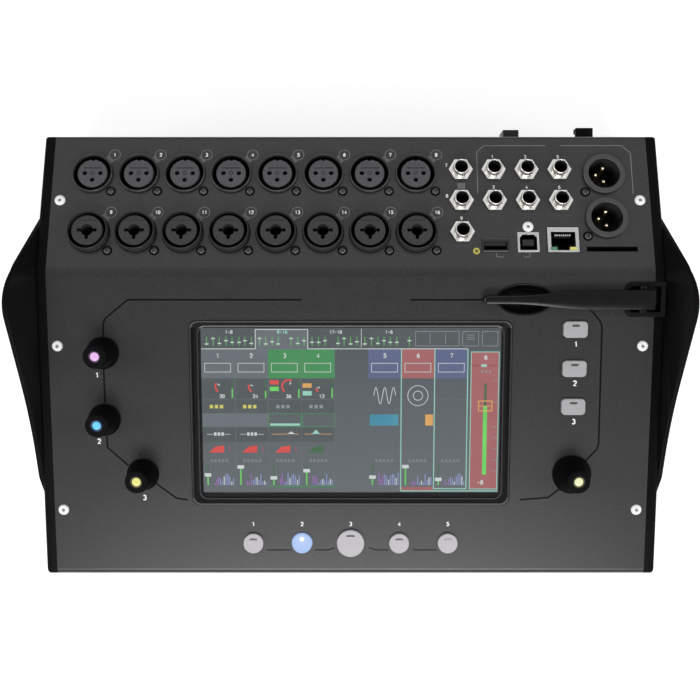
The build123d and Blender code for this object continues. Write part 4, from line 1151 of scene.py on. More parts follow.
def panes(name, finish, boxes, layer):
    """Flat patches of one colour on the display, each given by its left, bottom, right and top in millimetres."""
    add(bpy.ops.mesh.primitive_plane_add, size=1)
    editing(True)
    bpy.ops.mesh.delete(type="VERT")
    for left, bottom, right, top in boxes:
        middle = ((left + right) / 2 * mm, (bottom + top) / 2 * mm, 0)
        bpy.ops.mesh.select_all(action="DESELECT")
        bpy.ops.mesh.primitive_plane_add(size=1, location=middle)
        size = ((right - left) * mm, (top - bottom) * mm, 1)
        bpy.ops.transform.resize(value=size, center_override=middle)
    editing(False)
    patch = settle(bpy.context.object, on_control(0, 0, picture_level + layer * layer_step))
    return together(name, [patch], "desk", finish)


def box_lines(boxes, width):
    """The four sides of each box as thin patches."""
    sides = []
    for left, bottom, right, top in boxes:
        sides.append((left, bottom, right, bottom + width))
        sides.append((left, top - width, right, top))
        sides.append((left, bottom, left + width, top))
        sides.append((right - width, bottom, right, top))
    return sides


haze = picture_light("haze")
across = haze.node("ShaderNodeSeparateXYZ", {}, {"Vector": haze.place})
down = 0.0 - Amount(haze, across.outputs["Y"]) + 20 * mm
fade = down * (1 / (100 * mm)) + Amount(haze, across.outputs["X"]) * 1.2
haze.feed(haze.shader, {"Emission Color": haze.mix(fade, seen_colour(82, 90, 94), seen_colour(110, 117, 122))})
screen_edges = (-76.3, -113.9, 76.6, -28.05)
panes("picture_ground", haze, [screen_edges], 0)
surround = clouded("display_surround", {"Roughness": 0.5, "Specular IOR Level": 0.1}, 5, 0.0015, 0.0025)
panes("display_surround", surround, [(-77.9, -116.8, 78.3, -26.8)], -1)

strip_width = 17.05
left_strips = [-76.3 + strip_width * i for i in range(4)]
right_strips = [8.95 + strip_width * i for i in range(3)]
row_lines = (-38.8, -54.0, -65.1, -72.2, -79.4, -87.1, -94.3, -111.1)
strip_end = row_lines[-1]

dim = picture_finish("dim", (82, 90, 92), (96, 102, 106))
soft = picture_finish("soft", (108, 115, 121), (118, 125, 131))
green_head = picture_finish("green", (66, 152, 88), (84, 156, 102))
blue_head = picture_finish("blue", (98, 108, 148), (104, 113, 150))
red_head = picture_finish("red", (172, 104, 108), (182, 114, 116))
soft_mark = picture_finish("soft_mark", (128, 133, 137), (136, 141, 145))
pale_grey = picture_finish("pale_grey", (146, 151, 156), (156, 161, 166))
pale = picture_finish("pale", (212, 219, 221), (230, 235, 235))
mint = picture_finish("mint", (150, 216, 196), (176, 230, 212))
bright_green = picture_finish("bright_green", (100, 214, 98), (132, 238, 116))
dark_green = picture_finish("dark_green", (66, 110, 78), (78, 122, 88))
bright_red = picture_finish("bright_red", (226, 78, 74), (236, 94, 86))
orange = picture_finish("orange", (232, 170, 96), (240, 186, 110))
violet = picture_finish("violet", (158, 106, 188), (170, 120, 198))
light_blue = picture_finish("light_blue", (140, 156, 212), (160, 172, 222))
cyan = picture_finish("cyan", (60, 140, 170), (90, 170, 190))


def rows(strips, first, last, edge=0.0):
    """A box in each strip from one row line to another, drawn in by edge."""
    low, high = row_lines[last] + edge, row_lines[first] - edge
    return [(x + edge, low, x + strip_width - edge, high) for x in strips]


# Bars behind everything: the dark top bar with its lit tab, the strips' heads and rows, and the main strip.
master = (61.4, -112.3, 76.0, -40.2)
panes("picture_top_bar", dim, [(-76.3, row_lines[0], 76.6, -28.05)], 1)
panes("picture_lit_tab", soft, [(-48.5, row_lines[0] - 0.4, -21.8, -28.7)], 2)
panes("picture_grey_heads", soft, rows(left_strips[:2], 0, 1) + rows(left_strips[:2], 3, 4), 1)
panes("picture_green_heads", green_head, rows(left_strips[2:], 0, 1), 1)
panes("picture_blue_heads", blue_head, rows(right_strips[::2], 0, 1), 1)
red_foot = (right_strips[1], -112.9, right_strips[1] + strip_width, strip_end)
panes("picture_red_heads", red_head, [*rows(right_strips[1:2], 0, 1), master, red_foot], 1)
panes(
    "picture_dim_rows", dim, rows(left_strips, 2, 3) + rows(left_strips, 4, 5) + rows(left_strips, 1, 2, 0.5),
    1,
)

# Thin lines: the tab's outline, the buttons in the heads, the grids between strips and the chosen strips.
tab_lines = [
    (-76.2, row_lines[0] - 0.2, -48.5, row_lines[0] + 0.2),
    (-21.8, row_lines[0] - 0.2, 59.6, row_lines[0] + 0.2),
    (-48.7, row_lines[0], -48.3, -28.9), (-22.0, row_lines[0], -21.6, -28.9), (-48.7, -29.1, -21.6, -28.7),
    (5.3, -38.0, 5.6, -28.6),
]
head_buttons = [(x + 1.6, -50.9, x + strip_width - 1.9, -46.1) for x in left_strips + right_strips]
panes("picture_head_lines", pale, tab_lines + box_lines(head_buttons, 0.3), 4)
bar_buttons = [(32.9, -37.5, 55.4, -29.8), (56.9, -37.5, 65.3, -29.8), (66.9, -37.5, 75.1, -29.8)]
splits = [(40.3, -36.4, 40.6, -30.8), (48.2, -36.4, 48.5, -30.8)]
menu_lines = [(59.1, v, 63.1, v + 0.3) for v in (-31.9, -33.0, -34.1)]
panes("picture_bar_lines", pale_grey, box_lines(bar_buttons, 0.3) + splits + menu_lines, 4)
grid = []
for x in left_strips[1:] + [left_strips[-1] + strip_width]:
    grid.append((x - 0.1, strip_end, x + 0.12, row_lines[0]))
for x in left_strips + right_strips:
    for v in (row_lines[2], row_lines[6]):
        grid.append((x, v - 0.1, x + strip_width, v + 0.1))
panes("picture_grid_lines", soft, grid, 3)
chosen_lines = [
    (right_strips[1] - 0.3, -113.0, right_strips[1] + 0.2, row_lines[0]),
    (right_strips[2] - 0.3, -112.0, right_strips[2] + 0.2, row_lines[0]),
    (right_strips[2], -112.2, 59.9, -111.7), (59.6, -112.0, 60.1, row_lines[0]),
    (right_strips[1], -113.4, 76.2, -112.9),
]
panes("picture_chosen_lines", mint, chosen_lines + box_lines([master], 0.4), 4)

# Small faders along the top bar: a stem in dark green and a pale cap at its own height.
small_faders = [-73.3, -70.0, -66.8, -63.4, -60.3, -56.8, -53.8, -50.5, -46.4, -43.2, -39.9, -36.8, -30.3, -26.9]
small_faders += [-23.7, -19.6, -16.3, -13.0, -6.4, -3.3, 0.0, 3.2, 7.3, 10.6, 13.9, 17.0, 20.2, 23.5, 29.9]
cap_heights = [(7 * i * i + 3 * i) % 11 * 0.28 for i in range(len(small_faders))]
stems = [(x - 0.14, -37.3, x + 0.14, -32.6) for x in small_faders]
caps = [(x - 0.95, -36.6 + up, x + 0.95, -36.0 + up) for x, up in zip(small_faders, cap_heights)]
panes("picture_small_stems", bright_green, stems, 3)
panes("picture_small_caps", pale, caps, 4)

# Level bars and a fader at the foot of each strip, a meter beside each dial, and coloured tiles on some strips.
fader_lifts = (5.4, 9.6, 3.8, 7.6, 4.2, 9.8, 3.0)
fader_stems, fader_caps, fader_tracks = [], [], []
for x, lift in zip(left_strips + right_strips, fader_lifts):
    middle = x + 2.4
    fader_tracks.append((middle - 0.3, -110.0, middle + 0.3, -99.0))
    fader_stems.append((middle - 0.35, -110.0, middle + 0.35, -110.0 + lift))
    fader_caps.append((middle - 1.7, -110.9 + lift, middle + 1.7, -109.1 + lift))
violet_bars, blue_bars, pale_bars = [], [], []
for number, x in enumerate(left_strips + right_strips):
    for i in range(11):
        tall = 0.9 + (5 * i * i + 7 * number * i + 3 * number) % 13 * 0.46
        bar_left = x + 5.6 + i * 0.98
        group = violet_bars if i < 3 else pale_bars if i % 4 == 1 else blue_bars
        group.append((bar_left, -110.0, bar_left + 0.5, -110.0 + tall))
panes("picture_fader_tracks", dark_green, fader_tracks, 2)
panes("picture_fader_stems", bright_green, fader_stems, 3)
panes("picture_fader_caps", pale, fader_caps, 4)
panes("picture_violet_bars", violet, violet_bars, 3)
panes("picture_blue_bars", light_blue, blue_bars, 3)
panes("picture_pale_bars", pale, pale_bars, 3)
meter_levels = (4.8, 3.6, 4.6, 5.0)
meter_tracks = [(x + 15.35, -64.2, x + 16.05, -54.6) for x in left_strips]
panes("picture_meter_tracks", dark_green, meter_tracks, 2)
meters = [(x + 15.35, -64.2, x + 16.05, -64.2 + up) for x, up in zip(left_strips, meter_levels)]
green_foot = rows(left_strips[2:], 6, 7)
green_foot = [(left, bottom, right, bottom + 0.6) for left, bottom, right, top in green_foot]
panes("picture_meters", bright_green, meters + [(left_strips[2] + 0.8, -60.6, left_strips[2] + 5.4, -58.4)], 3)
panes("picture_green_feet", green_head, green_foot + box_lines(rows(left_strips[2:], 3, 4), 0.35), 3)
tiles = [(left_strips[2] + 0.8, -57.2, left_strips[2] + 5.4, -55.0)]
panes("picture_red_tiles", bright_red, tiles, 3)
orange_tiles = [
    (left_strips[3] + 0.6, -58.9, left_strips[3] + 5.2, -56.6),
    (right_strips[1] + 12.4, -78.6, right_strips[1] + 16.4, -72.8),
]
panes("picture_orange_tiles", orange, orange_tiles, 3)
mint_tiles = [
    (left_strips[3] + 0.6, -62.9, left_strips[3] + 5.2, -60.6),
    (left_strips[2] + 0.9, -78.7, left_strips[2] + 16.2, -77.5),
]
panes("picture_mint_tiles", mint, mint_tiles, 3)
panes("picture_cyan_tile", cyan, [(right_strips[0] + 0.9, -78.6, right_strips[0] + 15.6, -72.8)], 3)
yellow = picture_finish("yellow", (220, 210, 90), (230, 222, 120))
lamp_rows = [(x + 4.0 + 2.6 * i, -69.6, x + 5.7 + 2.6 * i, -67.8) for x in left_strips[:2] for i in range(3)]
panes("picture_yellow_lamps", yellow, lamp_rows, 3)
grey_lamps = [(x + 4.0 + 2.6 * i, -69.6, x + 5.7 + 2.6 * i, -67.8) for x in left_strips[2:] for i in range(3)]
panes("picture_grey_lamps", pale_grey, grey_lamps, 3)


def drawn(name, finish, runs, width, layer):
    """Lines of the picture: each run of points becomes a flat line of that width."""
    place = on_control(0, 0, picture_level + layer * layer_step)
    lines = [ink_line(run, width, 0, place) for run in runs]
    return together(name, lines, "desk", finish)


# A dial in each left strip, a low curve below it, a filled wedge, and a wave and a ring on two right strips.
dial_turns = (150, 165, 60, 200)
dials = [ring_part(x + 10.4, -58.2, 3.3, 3.3, 235, turn, 14) for x, turn in zip(left_strips, dial_turns)]
drawn("picture_dials", bright_red, dials, 0.9, 3)
hands = []
for x, turn in zip(left_strips, dial_turns):
    hands.append([ring_part(x + 10.4, -58.2, reach, reach, turn, turn, 1)[0] for reach in (1.1, 2.6)])
drawn("picture_dial_hands", pale, hands, 0.5, 4)
curves = []
for x, hump, tall in zip(left_strips[2:], (10.2, 5.9), (0.5, 0.7)):
    steps = [i * 0.5 for i in range(29)]
    curves.append([(x + 1.4 + s, -83.1 + tall * math.exp(-((s - hump) / 1.6) ** 2)) for s in steps])
drawn("picture_curves", orange, curves, 0.3, 3)
wave_x, ring_x = right_strips[0] + strip_width / 2, right_strips[1] + strip_width / 2
wave = [(wave_x - 5.6 + i * 0.4, -63.0 + 4.4 * math.sin(i * 0.56)) for i in range(29)]
rings = [ring_part(ring_x, -63.0, radius, radius, 0, 360, 28) for radius in (5.2, 2.4)]
drawn("picture_outlines", pale, [wave, *rings], 0.34, 3)


def filled(name, finish, outlines, layer):
    """Flat filled shapes of the picture, each given by its outline."""
    shapes = []
    for outline in outlines:
        shape = wire(outline)
        editing(True)
        bpy.ops.mesh.select_all(action="SELECT")
        bpy.ops.mesh.edge_face_add()
        editing(False)
        shapes.append(settle(shape, on_control(0, 0, picture_level + layer * layer_step)))
    return together(name, shapes, "desk", finish)


wedges = []
for x in left_strips[:3]:
    wedges.append([(x + 3.2, -92.8), (x + 6.4, -89.8), (x + 11.0, -89.0), (x + 11.0, -92.8)])
filled("picture_wedges", bright_red, wedges, 3)
filled("picture_dim_wedge", dark_green, [[(x + left_strips[3] - left_strips[2], v) for x, v in wedges[2]]], 3)

# The main strip: a track, a green level up to an orange fader cap, and a scale with plain numbers.
dark_rose = picture_finish("dark_rose", (128, 66, 70), (136, 74, 78))
rose = picture_finish("rose", (176, 70, 112), (188, 84, 124))
panes("picture_rose_lines", rose, [(x + 13.8, -92.6, x + 14.15, -89.0) for x in left_strips[:3]], 3)
send_marks = [
    (x + 3.8 + 2.0 * i, -97.9, x + 5.1 + 2.0 * i, -96.3)
    for x in left_strips + right_strips
    for i in range(5)
]
panes("picture_send_marks", soft_mark, send_marks, 3)
flat_runs = [(x + start, -83.3, x + start + 3.0, -83.05) for x in left_strips[:2] for start in (2.4, 11.4)]
flat_marks = [(x + 5.9 + 1.9 * i, -83.9, x + 7.2 + 1.9 * i, -82.2) for x in left_strips[:2] for i in range(3)]
panes("picture_flat_marks", pale, flat_runs + flat_marks, 3)
peaks = [[(left_strips[3] + 5.2, -83.0), (left_strips[3] + 7.3, -80.7), (left_strips[3] + 9.4, -83.0)]]
filled("picture_mint_peak", mint, peaks, 4)
peaks = [[(left_strips[2] + 9.6, -83.0), (left_strips[2] + 11.6, -81.7), (left_strips[2] + 13.6, -83.0)]]
filled("picture_pale_peak", pale, peaks, 4)
master_x = 69.1
panes("picture_master_track", dark_green, [(master_x - 0.6, -104.5, master_x + 0.6, -56.6)], 3)
panes("picture_master_level", bright_green, [(master_x - 1.05, -104.5, master_x + 1.05, -68.6)], 4)
cap_box = (master_x - 3.7, -71.2, master_x + 3.7, -65.5)
panes(
    "picture_master_cap", orange,
    box_lines([cap_box], 0.55) + [(master_x - 3.2, -68.6, master_x + 3.2, -68.2)], 5,
)
scale_marks = [(73.0, v, 75.2, v + 0.35) for v in (-55.4, -66.4, -79.6, -85.2, -91.0, -97.0, -102.6)]
panes("picture_master_scale", pale_grey, scale_marks, 4)
panes("picture_pan_line", dark_rose, [(62.4, -47.6, 75.0, -47.3)], 3)
panes("picture_pan_handle", mint, [(66.7, -48.1, 69.6, -46.8)], 4)
pan_marks = [(66.9 + 1.9 * i, -51.2, 67.9 + 1.9 * i, -49.9) for i in range(3)]
panes("picture_pan_marks", pale_grey, pan_marks, 4)


def shown_number(text, height, x, v):
    """A number of the picture."""
    return ink_number(text, height, on_control(x, v, picture_level + 4 * layer_step - ink_height))


head_numbers = [
    shown_number(i, 2.5, x + strip_width / 2, -42.3)
    for i, x in enumerate(left_strips + right_strips, 1)
]
gain_numbers = [shown_number(text, 2.1, x + 10.4, -63.3) for text, x in zip((20, 24, 36, 12), left_strips)]
master_numbers = [shown_number(6, 2.6, 69.0, -43.2), shown_number(-8, 2.5, 67.2, -108.6)]
bank_numbers = [
    shown_number(text, 1.9, x, -30.2)
    for text, x in (("1-8", -61.9), ("17-18", -7.6), ("1-6", 19.5))
]
together("picture_bank_numbers", bank_numbers, "desk", pale)
together("picture_chosen_bank", [shown_number("9-16", 2.0, -34.8, -30.2)], "desk", mint)
together("picture_numbers", head_numbers + gain_numbers + master_numbers, "desk", pale)

# ---------------------------------------------------------------- knobs
# Four knobs that turn without a stop. Each is a waisted cap with a soft-touch skin on a clear shaft, which
# brings coloured light from the board to a domed window in the knob's top. A thin collar round the window
# picks up the colour.
knob_soft = Finish("knob_soft_touch", {"Specular IOR Level": 0.06})
knob_bloom = knob_soft.noise(4, 3.0)
knob_soft.feed(
    knob_soft.shader,
    {"Base Color": knob_soft.mix(knob_bloom, (0.0016, 0.0017, 0.0021, 1), (0.0034, 0.0036, 0.0044, 1))},
)
knob_soft.feed(knob_soft.shader, {"Roughness": 0.5 + knob_bloom * 0.15})
knob_soft.bump(knob_soft.noise(0.15), 0.006)

knob_top = 15.85
knob_turns = (
    (0.994, 0.6), (1.0, 0.75), (1.0, 1.3), (0.985, 1.62), (0.955, 1.95), (0.918, 2.55), (0.888, 3.3),
    (0.866, 4.3),
)
grip_turns = ((0.45, 7.0), (0.27, 9.6), (0.14, 12.0), (0.06, 13.7), (0.0, 14.5))
crown_turns = ((5.93, 15.0), (5.72, 15.4), (5.35, 15.7), (4.8, knob_top), (3.2, 15.82), (2.95, 15.78))
bore_turns = ((2.95, 14.4), (3.0, 14.4), (3.0, 3.4), (3.8, 3.4), (3.8, 0.6))
waist_share = 0.866
grip_radius = 6.0
collar_turns = ((2.95, 14.6), (2.95, 15.8), (2.8, 15.9), (2.38, 15.84), (2.22, 15.6), (2.22, 14.6), (2.95, 14.6))
pipe_turns = (
    (2.97, -8.0), (2.97, 14.27), (2.2, 14.3), (2.2, 15.35), (2.05, 15.62), (1.65, 15.82), (1.0, 15.93),
    (0, 15.97),
)


def window_light(name, centre, middle, rim):
    """A lit window whose colour goes from its middle to its rim."""
    light = Finish(name, {"Roughness": 0.25, "Specular IOR Level": 0.3, "Emission Strength": 1.0})
    away = light.node("ShaderNodeVectorMath", {"operation": "DISTANCE"}, {0: light.place, 1: centre})
    share = Amount(light, away.outputs["Value"]) * (1 / (2.4 * mm))
    tint = light.mix(share * share, middle, rim)
    light.feed(light.shader, {"Emission Color": tint, "Base Color": light.mix(share, grey(0.05), grey(0.12))})
    return light


def collar_tint(name, colour):
    """The dark see-through collar, tinted by the light beside it."""
    tint = Finish(name, {"Roughness": 0.35, "Emission Strength": 1.0})
    tint.feed(tint.shader, {"Base Color": tint.mix(tint.noise(1), grey(0.003), grey(0.006))})
    tint.feed(
        tint.shader,
        {"Emission Color": tint.mix(tint.noise(1.5), colour, (*[c * 0.5 for c in colour[:3]], 1))},
    )
    return tint


knob_spots = ((-126.0, -40.8, 8.25), (-126.1, -75.3, 8.25), (-107.2, -104.0, 8.25), (114.2, -104.0, 10.0))
knob_lights = (
    ("pink", seen_colour(244, 186, 248), seen_colour(236, 176, 240), seen_colour(52, 24, 56)),
    ("blue", seen_colour(92, 226, 255), seen_colour(58, 166, 236), seen_colour(4, 26, 84)),
    ("yellow", seen_colour(246, 240, 118), seen_colour(236, 228, 128), seen_colour(66, 60, 14)),
    ("pale_yellow", seen_colour(246, 246, 196), seen_colour(232, 234, 160), seen_colour(64, 62, 22)),
)
for number, ((x, v, base), light) in enumerate(zip(knob_spots, knob_lights), 1):
    place = on_control(x, v)
    waist = base * waist_share
    outline = [(base * share, height) for share, height in knob_turns]
    outline += [(grip_radius + (waist - grip_radius) * share, height) for share, height in grip_turns]
    outline += [*crown_turns, *bore_turns, outline[0]]
    cap = turned(outline, 96, False)
    smoothed(settle(cap, place), 50)
    together(f"knob_{number}_cap", [cap], f"knob_{number}", knob_soft)
    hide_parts(f"knob_cap_{number}")

    colour_name, middle, rim, shade = light
    centre = place @ Vector((0, 0, knob_top * mm))
    pipe = turned(pipe_turns, 64)
    smoothed(settle(pipe, place), 50)
    window = window_light(f"{colour_name}_window_light", centre, middle, rim)
    together(f"knob_{number}_window", [pipe], f"knob_{number}", window)
    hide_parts(f"knob_shaft_{number}")
    collar = turned(collar_turns, 64, False)
    smoothed(settle(collar, place), 50)
    together(
        f"knob_{number}_collar", [collar], f"knob_{number}",
        collar_tint(f"{colour_name}_collar", shade),
    )

# Plain white numbers stand in front of the three knobs on the left.
knob_numbers = [
    ink_number(number, 3.0, on_control(x, v))
    for number, (x, v) in enumerate(((-129.3, -52.2), (-129.4, -86.6), (-106.8, -116.4)), 1)
]
together("knob_numbers", knob_numbers, "desk", white_ink)

# ---------------------------------------------------------------- keys
# Three rounded soft keys and five round keys, moulded in a milky grey plastic. Each has a small slot-shaped
# light window near its rear edge, dark while it is off. The second round key is lit in pale blue, with a
# bright spot.
key_grey, soft_key_grey = [
    clouded(name, {"Specular IOR Level": 0.4}, 5, dark, light, (0.42, 0.1), (0.2, 0.005))
    for name, dark, light in (
        ("key_moulding", (0.415, 0.40, 0.42), (0.455, 0.44, 0.46)),
        ("soft_key_moulding", (0.325, 0.32, 0.33), (0.365, 0.36, 0.37)),
    )
]

key_v = -140.77
round_key_spots = ((-50.6, 5.15), (-25.3, 5.15), (0.0, 7.1), (25.3, 5.15), (50.6, 5.15))
key_edge = ((-0.75, 1.1), (-0.6, 1.3), (-0.35, 1.44), (-0.1, 1.5), (0, 1.5))
flange_turns = ((1.0, -1.65), (0.0, -1.65), (0.0, 0.6))
lit_key_number = 2
key_glow = Finish("lit_key_moulding", {"Roughness": 0.4, "Emission Strength": 1.0})
spot_place = on_control(-25.3, key_v + 2.5, 1.5) @ Vector()
glow_way = key_glow.node("ShaderNodeVectorMath", {"operation": "DISTANCE"}, {0: key_glow.place, 1: spot_place})
glow_share = Amount(key_glow, glow_way.outputs["Value"]) * (1 / (7.5 * mm))
glow_tint = key_glow.mix(glow_share, seen_colour(176, 203, 246), seen_colour(134, 174, 234))
key_glow.feed(
    key_glow.shader,
    {"Emission Color": glow_tint, "Base Color": key_glow.mix(glow_share, grey(0.06), grey(0.1))},
)

for number, (x, radius) in enumerate(round_key_spots, 1):
    outline = [(1.7, -6.0), (1.7, -2.55), (radius + 1, -2.55)]
    outline += [(radius + reach, height) for reach, height in flange_turns]
    outline += [(radius + reach * 0.55, height) for reach, height in key_edge[:-1]]
    outline += [(radius * 0.5, 1.53), (0, 1.54)]
    key = turned(outline, 72)
    smoothed(settle(key, on_control(x, key_v)), 40)
    finish = key_glow if number == lit_key_number else key_grey
    together(f"round_key_{number}_cap", [key], f"key_round_{number}", finish)
    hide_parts(f"round_key_{number}")

soft_key_x = 113.9
soft_key_vs = (-28.8, -48.85, -68.5)
for number, v in enumerate(soft_key_vs, 1):
    key = softened(f"soft_key_{number}", 0)
    together(f"soft_key_{number}_cap", [key], f"key_soft_{number}", soft_key_grey)
    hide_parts(f"soft_key_{number}")

dash_dark = clouded("dark_key_window", {"Roughness": 0.3}, 0.8, 0.05, 0.08)
dash_faint = clouded("faint_key_window", {"Roughness": 0.3}, 0.8, 0.19, 0.25)


def key_window(width, length, sag, place):
    """A slot-shaped window in a key's top: a flat strip with round ends, its ends drooping by sag."""
    strip = rod(length / 2, -0.06, 0.06)
    for vertex in strip.data.vertices:
        if abs(vertex.co.x) > 1e-7:
            vertex.co.x += math.copysign((width - length) / 2 * mm, vertex.co.x)
    editing(True)
    for share in (-0.4, -0.2, 0.0, 0.2, 0.4):
        bpy.ops.mesh.select_all(action="SELECT")
        bpy.ops.mesh.bisect(plane_co=(width * share * mm, 0, 0), plane_no=(1, 0, 0))
    editing(False)
    for vertex in strip.data.vertices:
        vertex.co.y -= sag * mm * (2 * vertex.co.x / (width * mm)) ** 2
    return settle(strip, place)


window_size = (4.1, 0.95)
for number, v in enumerate(soft_key_vs, 1):
    dash = key_window(3.9, 1.15, 0, on_control(soft_key_x, v + 2.05, 1.5))
    together(f"soft_key_{number}_window", [dash], f"key_soft_{number}", dash_dark)
for number, rise, size, finish in (
    (1, 2.45, window_size, dash_dark), (3, 4.3, (4.4, 1.0), dash_dark),
    (4, 2.45, window_size, dash_dark), (5, 2.6, (4.2, 0.6), dash_faint),
):
    x = round_key_spots[number - 1][0]
    dash = key_window(*size, 0.25, on_control(x, key_v + rise, 1.53))
    together(f"round_key_{number}_window", [dash], f"key_round_{number}", finish)
spot_glow = lit("white_key_spot", (1.0, 1.0, 1.0, 1), (0.85, 0.93, 1.0, 1), 1.0)
spot = turned(((1.05, 1.4), (1.05, 1.52), (0.8, 1.6), (0.4, 1.64), (0, 1.65)), 32)
smoothed(settle(spot, on_control(-25.3, key_v + 2.5)), 50)
together("round_key_2_window", [spot], "key_round_2", spot_glow)

# Thin black lines join the round keys, and plain white numbers stand over them and in front of the soft keys.
key_lines = (
    ((-43.8, -144.6), (-31.2, -144.6)), ((-18.7, -144.6), (-11.8, -144.6), (-8.4, -143.4)),
    ((9.6, -143.4), (13.3, -144.6), (19.7, -144.6)), ((32.5, -144.6), (44.8, -144.6)),
)
lines = [
    ink_line(route, 0.55, 1.2, on_control(0, 0, ink_height / 2))
    for route in key_lines
]
together("printed_key_lines", lines, "desk", black_ink)
key_numbers = [
    ink_number(number, 2.4, on_control(x, -130.6))
    for number, (x, radius) in enumerate(round_key_spots, 1)
]
key_numbers += [
    ink_number(number, 3.0, on_control(114.5, v))
    for number, v in enumerate((-36.35, -56.4, -76.3), 1)
]
together("key_numbers", key_numbers, "desk", white_ink)

# ---------------------------------------------------------------- antenna
# A flip-up antenna lies folded across the ridge. The blade is a semi-gloss moulding with a raised spine and
# flanks that spread towards the root, where it turns on a steel pin in a moulded pocket. The tip lies over a
# cup.
gloss = clouded(
    "black_gloss_moulding", {"Specular IOR Level": 0.3}, 7, 0.004, 0.007, (0.2, 0.08), (0.3, 0.003)
)
pocket_black = clouded("pocket_moulding", {"Specular IOR Level": 0.2}, 3, 0.002, 0.0035)
pocket_black.feed(pocket_black.shader, {"Roughness": 0.36 + pocket_black.noise(2) * 0.1})
# The steel pin is given the pocket's black as painted shade, for it lies in the pocket's shade.
dress(pocket_black, "antenna_bracket", "antenna_pin")

hinge = on_control(147.4, -13.5, 1.0)
blade_length = 80.7
blade_low = -0.2
blade_high = 4.8
spine_half = 1.15
root_half = 4.8
tip_half = 2.05
spread_start = 14.0
spread_end = 54.0
flank_drop = 0.3
tip_fall = 1.2
tip_stations = (0.05, 0.2, 0.5, 0.9, 1.4, 2.2)
body_stations = (6, 12, 18, 24, 28, 32, 36, 40, 44, 48, 52, 56, 60, 66, 72, 78)


def eased(share):
    """A share of 0 to 1 that starts and ends gently."""
    share = min(max(share, 0.0), 1.0)
    return share * share * (3 - 2 * share)


# The blade is cut from a blank that is far too wide, which keeps the cuts apart, and is then drawn in to its
# outline.
root_end = 4.7
blank_half = 1000
blade = bar((-blade_length, -blank_half, blade_low), (root_end, blank_half, blade_high))
settle(blade, Matrix())
editing(True)
for station in tip_stations + body_stations:
    bpy.ops.mesh.select_all(action="SELECT")
    bpy.ops.mesh.bisect(plane_co=(station * mm - blade_length * mm, 0, 0), plane_no=(1, 0, 0))
for side in (-0.55, 0.55):
    bpy.ops.mesh.select_all(action="SELECT")
    bpy.ops.mesh.bisect(plane_co=(0, side * blank_half * mm, 0), plane_no=(0, 1, 0))
editing(False)
for vertex in blade.data.vertices:
    along = vertex.co.x + blade_length * mm
    spread = eased((along - spread_start * mm) / ((spread_end - spread_start) * mm))
    half_width = tip_half + (root_half - tip_half) * spread
    tip_share = max(0.12, min(along / (tip_half * mm), 1.0))
    tip_shape = math.sqrt(1 - (1 - tip_share) ** 2)
    on_edge = abs(vertex.co.y) > 0.9 * blank_half * mm
    reach = half_width if on_edge else min(spine_half, half_width * 0.8)
    vertex.co.y = math.copysign(reach * mm * tip_shape, vertex.co.y)
    if vertex.co.z > 0 and on_edge:
        vertex.co.z -= flank_drop * mm
    if vertex.co.z > 0:
        vertex.co.z -= (1 - tip_shape) * tip_fall * mm
round_edges(blade, 0.45, 20, 3)
root = rod(4.1, -root_half, root_half, sides=64)
root = settle(root, Matrix.Rotation(math.radians(90), 4, "X"))
cut(blade, [root], "UNION")
pin_way = settle(rod(1.02, -7, 7), Matrix.Rotation(math.radians(90), 4, "X"))
cut(blade, [pin_way])
smoothed(settle(blade, hinge), 28)
together("antenna_blade_moulding", [blade], "antenna", gloss)
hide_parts("antenna_blade")

scoop_turns = (
    (13.4, -5.5), (13.4, 0.02), (14.8, 0.02), (14.8, 0.2), (14.6, 0.3), (13.7, 0.3), (13.1, 0.1),
    (12.4, -0.9), (11.5, -2.2), (10.0, -3.3), (8.0, -4.0), (5.0, -4.4), (2.0, -4.5), (0, -4.5),
)
scoop = turned(scoop_turns, 96)
scoop.scale.y = 16.1 / 29.2
smoothed(settle(scoop, on_control(87.9, -13.5)), 35)
together("finger_cup", [scoop], "desk", pocket_black)
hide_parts("finger_scoop")

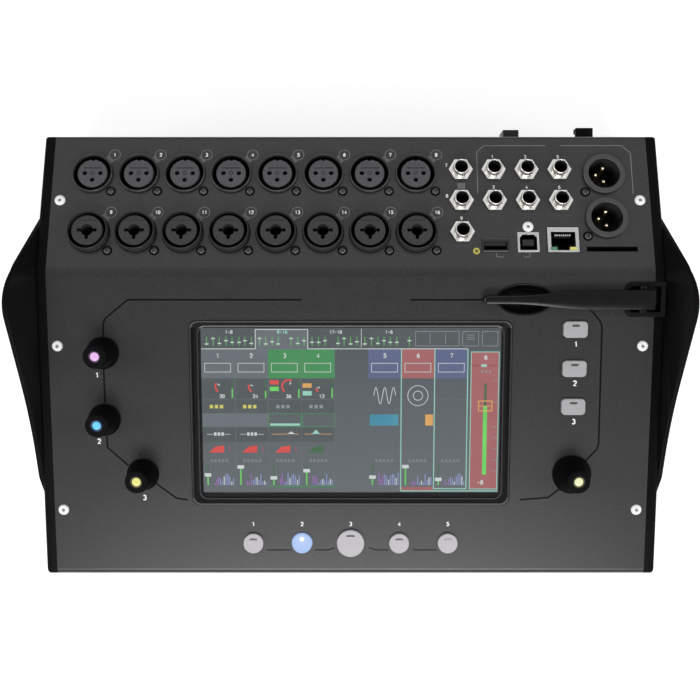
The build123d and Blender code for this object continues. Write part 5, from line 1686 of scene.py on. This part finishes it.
# ---------------------------------------------------------------- rear wall
# On the rear wall are the square low-voltage inlet with its centre pin, the rocker switch in its frame, and a
# moulded hook for the supply lead. The rocker carries a line and a ring in white.
dress(socket_black, "power_inlet", "power_switch_body")
dress(nickel, "power_inlet_pin")
hook = softened("cable_hook", 0.25)
together("cable_hook_moulding", [hook], "desk", moulding)
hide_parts("cable_hook")
dress(gloss, "power_switch_rocker")

rocker_turn = math.radians(8)
switch_place = moved(103.6, 110.5, 37.0) @ Matrix(
    ((-1, 0, 0, 0), (0, 0, 1, 0), (0, 1, 0, 0), (0, 0, 0, 1))
)
pivot = switch_place @ moved(0, 0, 0.5) @ Matrix.Rotation(rocker_turn, 4, "X")
rocker_face = 1.2
face_middle = 3.4
marks = []
for way in (-1, 1):
    rise = rocker_face + face_middle * math.tan(rocker_turn) + ink_height
    tilt = Matrix.Rotation(way * rocker_turn, 4, "X")
    spot = pivot @ moved(0, way * face_middle, rise) @ tilt
    if way > 0:
        marks.append(ink_line([(0, -1), (0, 1)], 0.4, 0, spot))
    else:
        add(bpy.ops.mesh.primitive_circle_add, vertices=32, radius=0.9 * mm)
        marks.append(ink_wire(0.4, spot))
together("rocker_marks", marks, "power_rocker", white_ink)

# ---------------------------------------------------------------- inside
# Boards with a green mask over copper tracks carry the connectors, controls and display. Encoders have a steel
# body, the key switches a dark one, and the main board stands on nickel-plated standoffs.
mask = Finish("green_board_mask", {"Specular IOR Level": 0.5, "Roughness": 0.35})
tracks = mask.node(
    "ShaderNodeTexBrick", {"offset": 0.37}, {"Vector": mask.place, "Scale": 140.0, "Mortar Size": 0.012},
)
mask_tone = Amount(mask, tracks.outputs["Fac"]) + mask.noise(9) * 0.4
mask.feed(mask.shader, {"Base Color": mask.mix(mask_tone, (0.010, 0.060, 0.028, 1), (0.035, 0.13, 0.05, 1))})
dress(mask, "main_board", "control_board", "connector_board")

dress(steel, "encoder_bodies", "board_standoffs", "board_screws")
dress(socket_black, "key_switches", "lcd_module")
